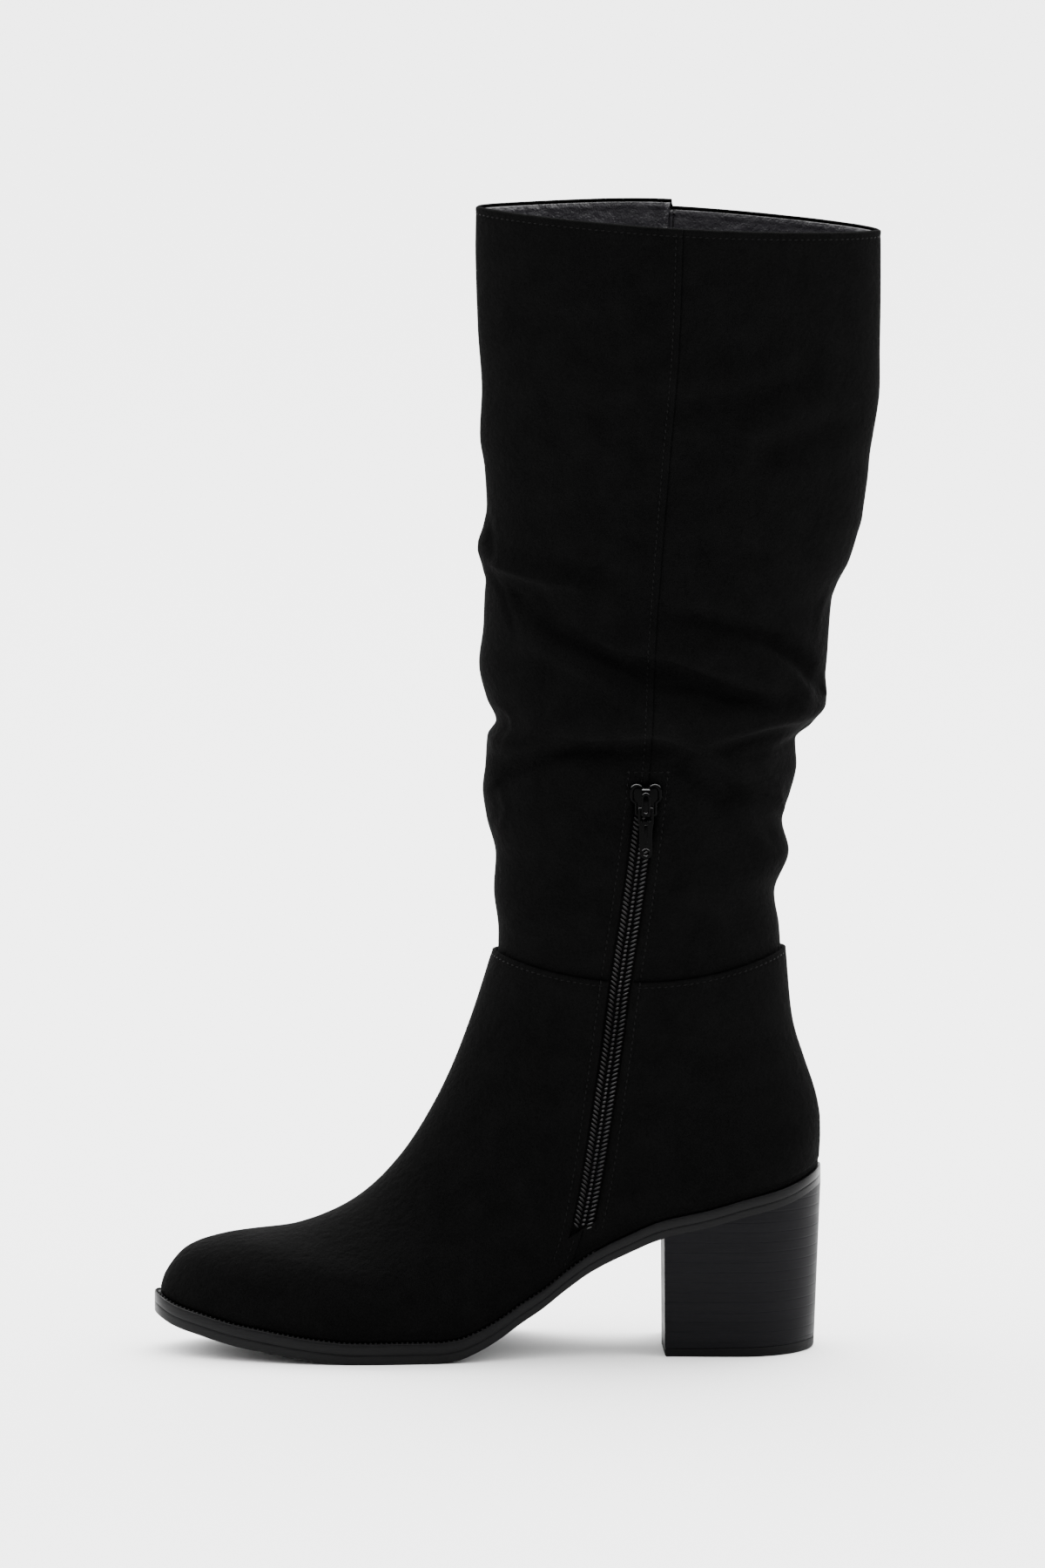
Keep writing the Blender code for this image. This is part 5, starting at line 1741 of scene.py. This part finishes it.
        eye_hole = [(x * 0.50, (z + 0.0012) * 0.72 - 0.0012) for x, z in eye]
        eye_place = Matrix.Translation((middle.x, plate_out - tall, middle.z)) @ facing
        loop = self.flat("slider_loop", [eye, eye_hole], 0.0009, eye_place, 0.0004)
        return join("slider_body", (plate, rim, neck, arch, loop), ENAMEL_CRISP)

    def plate_face(self) -> float:
        """Y of the outer face of the slider's plate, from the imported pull's hinge."""
        hinge = frame["joints"][0]["pos_m"]
        return hinge[1] + self.bridge_space / 2

    def pull_mesh(self) -> bpy.types.Mesh:
        """Pull tab with its window, its raised rib and the small hole at its end."""
        hinge = Vector(frame["joints"][0]["pos_m"])
        wide = self.pull_width / 2
        bar = self.pull_bar
        top = bar / 2
        bottom = top - self.pull_length
        neck = bar / 2 + self.window_length
        tip = wide * 0.8
        corner = bar / 2
        outline = arc((wide - corner, top - corner), corner, 0, 90, 5)
        outline += arc((corner - wide, top - corner), corner, 90, 180, 5)
        outline += [(-wide, -neck), (-wide * 0.86, -neck * 1.6)]
        outline += arc((0, bottom + tip), tip, 180, 360, 18)
        outline += [(wide * 0.86, -neck * 1.6), (wide, -neck)]
        inside = self.window_width / 2
        window = [(inside, -bar / 2), (-inside, -bar / 2), (-inside, -neck), (inside, -neck)]
        hole = arc((0, bottom + tip), self.hole_radius, 0, 330, 11)
        facing = Matrix.Translation(hinge) @ Matrix.Rotation(math.radians(90), 4, "X")
        body = self.flat("pull_body", [outline, window, hole], self.pull_thickness, facing, self.round_edge)
        out = hinge + Vector((0, -self.pull_thickness / 2, 0))
        rib_place = Matrix.Translation(out) @ Matrix.Rotation(math.radians(90), 4, "X")
        rib_half, rib_top, rib_bottom = self.rib_width / 2, -neck - 0.0012, bottom + 2.4 * tip
        rib_outline = [
            (rib_half, rib_top), (-rib_half, rib_top), (-rib_half, rib_bottom), (rib_half, rib_bottom),
        ]
        rib = self.flat("pull_rib", [rib_outline], 0.0008, rib_place, 0.0003)
        eye = arc((0, bottom + tip), self.hole_radius * 2.0, 0, 345, 23)
        eye_hole = arc((0, bottom + tip), self.hole_radius * 1.15, 0, 345, 23)
        rim = self.flat("pull_eye", [eye, eye_hole], 0.0007, rib_place, 0.00025)
        return join("pull_tab", (body, rib, rim), ENAMEL_CRISP)

    def build(self, materials: dict[str, bpy.types.Material], stamps: StampTree) -> list[bpy.types.Object]:
        """Make the tape, the coil, the slider and the pull.

        Args:
            materials: Finished materials by name.
            stamps: Tree that sets small shapes along a path.

        Returns:
            The pieces.
        """
        half = self.tape_width / 2
        offsets = np.array([-half, -half * 0.6, -0.0045, -0.002, 0.0, 0.002, 0.0045, half * 0.6, half])
        front, _ = self.strip(offsets, 0.0)
        back, _ = self.strip(offsets, -self.tape_thickness)
        ring = np.concatenate([front, back[:, ::-1]], axis=1)
        mesh = mend(mesh_from_faces("zip_tape_weave", ring, grid_faces(*ring.shape[:2])))
        tape = place_object("zip_tape_weave", mesh, materials[TAPE.name])
        settle(tape, BOOT, ["zip_tape"])

        line, outward = self.strip(np.array([0.0]), FIT_GAP + 0.0009)
        low = self.leg.zip_bottom + 0.0006
        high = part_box("zip_slider")[0][2] - 0.0008
        inside = (line[:, 0, 2] > low) & (line[:, 0, 2] < high)
        beside = self.coil_width / 2 - 0.00125
        side, slant = Vector(self.coil_side), math.radians(self.coil_slant)
        middle = Vector((self.coil_pitch / 2, 0, 0.0001))
        beads = [
            (Vector((0, beside, 0)), side, -slant),
            (middle, Vector(self.coil_middle), slant),
            (Vector((0, -beside, 0)), side, slant),
        ]
        tooth = bead_stamp("coil_tooth", beads, 8)
        path = (line[inside, 0], outward[inside, 0])
        coil = stamps.run("zip_coil_teeth", [path], tooth, self.coil_pitch, materials[COIL.name])
        bpy.data.objects.remove(tooth)
        settle(coil, BOOT, ["zip_coil"])

        slider = place_object("zip_slider_body", self.slider_mesh(), materials[ENAMEL.name])
        settle(slider, BOOT, ["zip_slider"])
        pull = place_object("zip_pull_tab", self.pull_mesh(), materials[ENAMEL.name])
        settle(pull, PULL, ["zip_pull"])
        return [tape, coil, slider, pull]


def arc(centre: tuple[float, float], radius: float, start: float, end: float, steps: int) -> list:
    """Points of an arc, both ends included, with angles in degrees."""
    turns = np.radians(np.linspace(start, end, steps + 1))
    return [(centre[0] + radius * math.cos(turn), centre[1] + radius * math.sin(turn)) for turn in turns]


@dataclass
class Stitching(Skin):
    """Rows of thread on the upper and the shaft."""

    length: float = 0.0018
    thread: float = 0.00028
    lift: float = 0.00002
    back_rows: float = 0.0026
    hem_break: float = 0.0075

    def row_path(self, form: Form, rows: Array, angles: Array, relief: Callable) -> tuple[Array, Array]:
        """Points and outward vectors of one row of stitches on a relieved face."""
        base, normal = face_at(form, rows, angles)
        height = relief(base, rows, angles) + self.lift
        return base + normal * height[:, None], normal

    def build(
        self, shaft: ShaftSkin, upper: UpperSkin, materials: dict[str, bpy.types.Material], stamps: StampTree,
    ) -> list[bpy.types.Object]:
        """Make every row of stitches.

        Args:
            shaft: The shaft's skin, for its relief.
            upper: The upper's skin, for its relief.
            materials: Finished materials by name.
            stamps: Tree that sets small shapes along a path.

        Returns:
            The pieces.
        """
        leg = self.leg
        on_upper = upper.relief

        def on_shaft(points: Array, rows: Array, angles: Array) -> Array:
            """Relief of the shaft, which is the same at every angle of a row."""
            return shaft.relief(points, rows)

        turn = np.linspace(0, 2 * math.pi, 500)
        hem = 1 - shaft.hem_place / (leg.collar_height - leg.ankle_side)
        paths = [self.row_path(leg.shaft, np.full(turn.shape, hem), turn, on_shaft)]
        rows = np.linspace(leg.shaft_row(leg.zip_top + 0.003), 0.992, 260)
        angle = leg.seam_line(leg.shaft, rows, -self.channel_place)
        paths.append(self.row_path(leg.shaft, rows, angle, on_shaft))
        rows = np.linspace(0.008, 0.992, 320)
        angle = 2 * math.pi - leg.seam_line(leg.shaft, rows, -self.channel_place - self.outer_seam_shift)
        paths.append(self.row_path(leg.shaft, rows, angle, on_shaft))
        top, step = float(leg.top_row), 0.1
        breaks = np.array([self.hem_break, -self.hem_break])
        right, left = leg.seam_angles(leg.upper, np.array([top - step]), breaks)[0]
        sweep = np.linspace(right, 2 * math.pi + left, 400)
        under = upper.depth_below(leg.upper(np.full(sweep.shape, top - step), sweep), sweep)
        paths.append(self.row_path(leg.upper, top - step * upper.hem_place / under, sweep, on_upper))
        beside = leg.slot_width / 2 + self.zip_row
        above = leg.shaft_row(leg.zip_top + 0.0065)
        for offset in (-beside, beside):
            rows = np.linspace(leg.upper_row(leg.zip_bottom - 0.004), leg.top_row - 0.02, 160)
            paths.append(self.row_path(leg.upper, rows, leg.seam_line(leg.upper, rows, offset), on_upper))
            rows = np.linspace(0.008, above, 120)
            paths.append(self.row_path(leg.shaft, rows, leg.seam_line(leg.shaft, rows, offset), on_shaft))
        cross = leg.seam_angles(leg.shaft, np.array([above]), np.linspace(-beside, beside, 24))[0]
        paths.append(self.row_path(leg.shaft, np.full(24, above), cross, on_shaft))
        rows = np.linspace(0.15, leg.upper_row(leg.zip_bottom - 0.003), 40)
        angle = leg.seam_line(leg.upper, rows, -self.channel_place)
        paths.append(self.row_path(leg.upper, rows, angle, on_upper))
        rows = np.linspace(0.15, 8.6, 300)
        angle = 2 * math.pi - leg.seam_line(leg.upper, rows, -self.channel_place - self.outer_seam_shift)
        paths.append(self.row_path(leg.upper, rows, angle, on_upper))
        rows = np.linspace(0.5, 8.6, 200)
        for offset in (-self.back_rows, self.back_rows):
            angle = np.full(rows.shape, math.pi + offset / self.heel_radius)
            paths.append(self.row_path(leg.upper, rows, angle, on_upper))
        size = Vector((self.length / 2, self.thread, self.thread * 0.8))
        stamp = bead_stamp("stitch", [(Vector((0, 0, 0)), size, 0.12)], 6)
        thread = stamps.run("thread_rows", paths, stamp, self.stitch_pitch, materials[THREAD.name], 0.10)
        bpy.data.objects.remove(stamp)
        settle(thread, BOOT)
        return [thread]


@dataclass
class Studio:
    """Pale floor, soft light and the camera at the photograph's angle."""

    elevation: float = 8.5
    distance: float = 7.0
    frame_height: float = 0.600
    aim: tuple[float, float, float] = (-0.08267, 0.0, 0.2179)
    sensor: float = 24.0
    floor_size: float = 40.0
    floor_colour: tuple[float, float, float] = (0.90, 0.90, 0.90)
    zenith: float = 9.3
    horizon: float = 1.0
    ahead: float = 0.16

    def camera(self) -> None:
        """Set the camera level with the inner side, a little above it."""
        data = bpy.data.cameras.new("camera")
        data.sensor_fit = "VERTICAL"
        data.sensor_height = self.sensor
        data.lens = self.sensor * self.distance / self.frame_height
        data.clip_end = 200.0
        tilt = math.radians(self.elevation)
        item = bpy.data.objects.new("camera", data)
        back = Vector((0, -math.cos(tilt), math.sin(tilt))) * self.distance
        item.location = Vector(self.aim) + back
        item.rotation_euler = (math.radians(90) - tilt, 0, 0)
        bpy.context.scene.collection.objects.link(item)
        bpy.context.scene.camera = item

    def floor(self) -> None:
        """Lay the pale floor."""
        form = bmesh.new()
        bmesh.ops.create_grid(form, x_segments=1, y_segments=1, size=self.floor_size / 2)
        mesh = bpy.data.meshes.new("floor")
        form.to_mesh(mesh)
        form.free()
        material = bpy.data.materials.new("floor_paper")
        material.use_nodes = True
        shader = material.node_tree.nodes["Principled BSDF"]
        shader.inputs["Base Color"].default_value = (*self.floor_colour, 1.0)
        shader.inputs["Roughness"].default_value = 0.9
        shader.inputs["Specular IOR Level"].default_value = 0.1
        place_object("floor", mesh, material)

    def light(self, name: str, place: Vector, size: tuple[float, float], power: float) -> None:
        """Rectangular softbox that faces the boot."""
        data = bpy.data.lights.new(name, "AREA")
        data.shape = "RECTANGLE"
        data.size, data.size_y = size
        data.energy = power
        item = bpy.data.objects.new(name, data)
        item.location = place
        item.rotation_euler = (Vector((-0.07, 0, 0.2)) - place).to_track_quat("-Z", "Y").to_euler()
        bpy.context.scene.collection.objects.link(item)

    def build(self) -> None:
        """Make the studio."""
        world = bpy.data.worlds.new("studio")
        world.use_nodes = True
        background = world.node_tree.nodes["Background"]
        background.inputs["Color"].default_value = (1.0, 1.0, 1.0, 1.0)
        nodes = Nodes(world.node_tree)
        direction = nodes.add("ShaderNodeTexCoord").outputs["Generated"]
        parts = nodes.add("ShaderNodeSeparateXYZ", Vector=direction).outputs
        soft = {"interpolation_type": "SMOOTHSTEP"}
        height = nodes.add(
            "ShaderNodeMapRange", soft, Value=parts["Z"], From_Min=0.0, From_Max=0.8,
            To_Min=self.horizon, To_Max=self.zenith,
        )
        front = nodes.add(
            "ShaderNodeMapRange", soft, Value=parts["Y"], From_Min=-0.7, From_Max=0.5,
            To_Min=self.ahead, To_Max=1.0,
        )
        strength = nodes.math("MULTIPLY", height.outputs["Result"], front.outputs["Result"])
        nodes.feed(background.inputs["Strength"], strength)
        bpy.context.scene.world = world
        self.floor()
        self.camera()
        self.light("top_box", Vector((0.2, 1.3, 2.4)), (2.0, 1.2), 40.0)
        self.light("side_box", Vector((1.9, -0.8, 1.1)), (0.8, 1.6), 7.0)


def main() -> None:
    """Build every piece of the boot and the studio."""
    logging.basicConfig(level=logging.INFO, format="%(name)s: %(message)s")
    view = bpy.context.scene.view_settings
    LOG.info("view transform %s, look %s, exposure %s", view.view_transform, view.look, view.exposure)
    materials = {finish.name: finish.material() for finish in FINISHES}
    stamps = StampTree()
    last = Last()
    leg = Leg(last)
    shaft = ShaftSkin(leg)
    upper = UpperSkin(leg)
    pieces = shaft.build(materials) + upper.build(materials)
    pieces += Sole(last).build(materials, stamps)
    pieces += Zip(leg).build(materials, stamps)
    pieces += Stitching(leg).build(shaft, upper, materials, stamps)
    Studio().build()
    LOG.info("%d pieces", len(pieces))


if __name__ == "__main__":
    main()
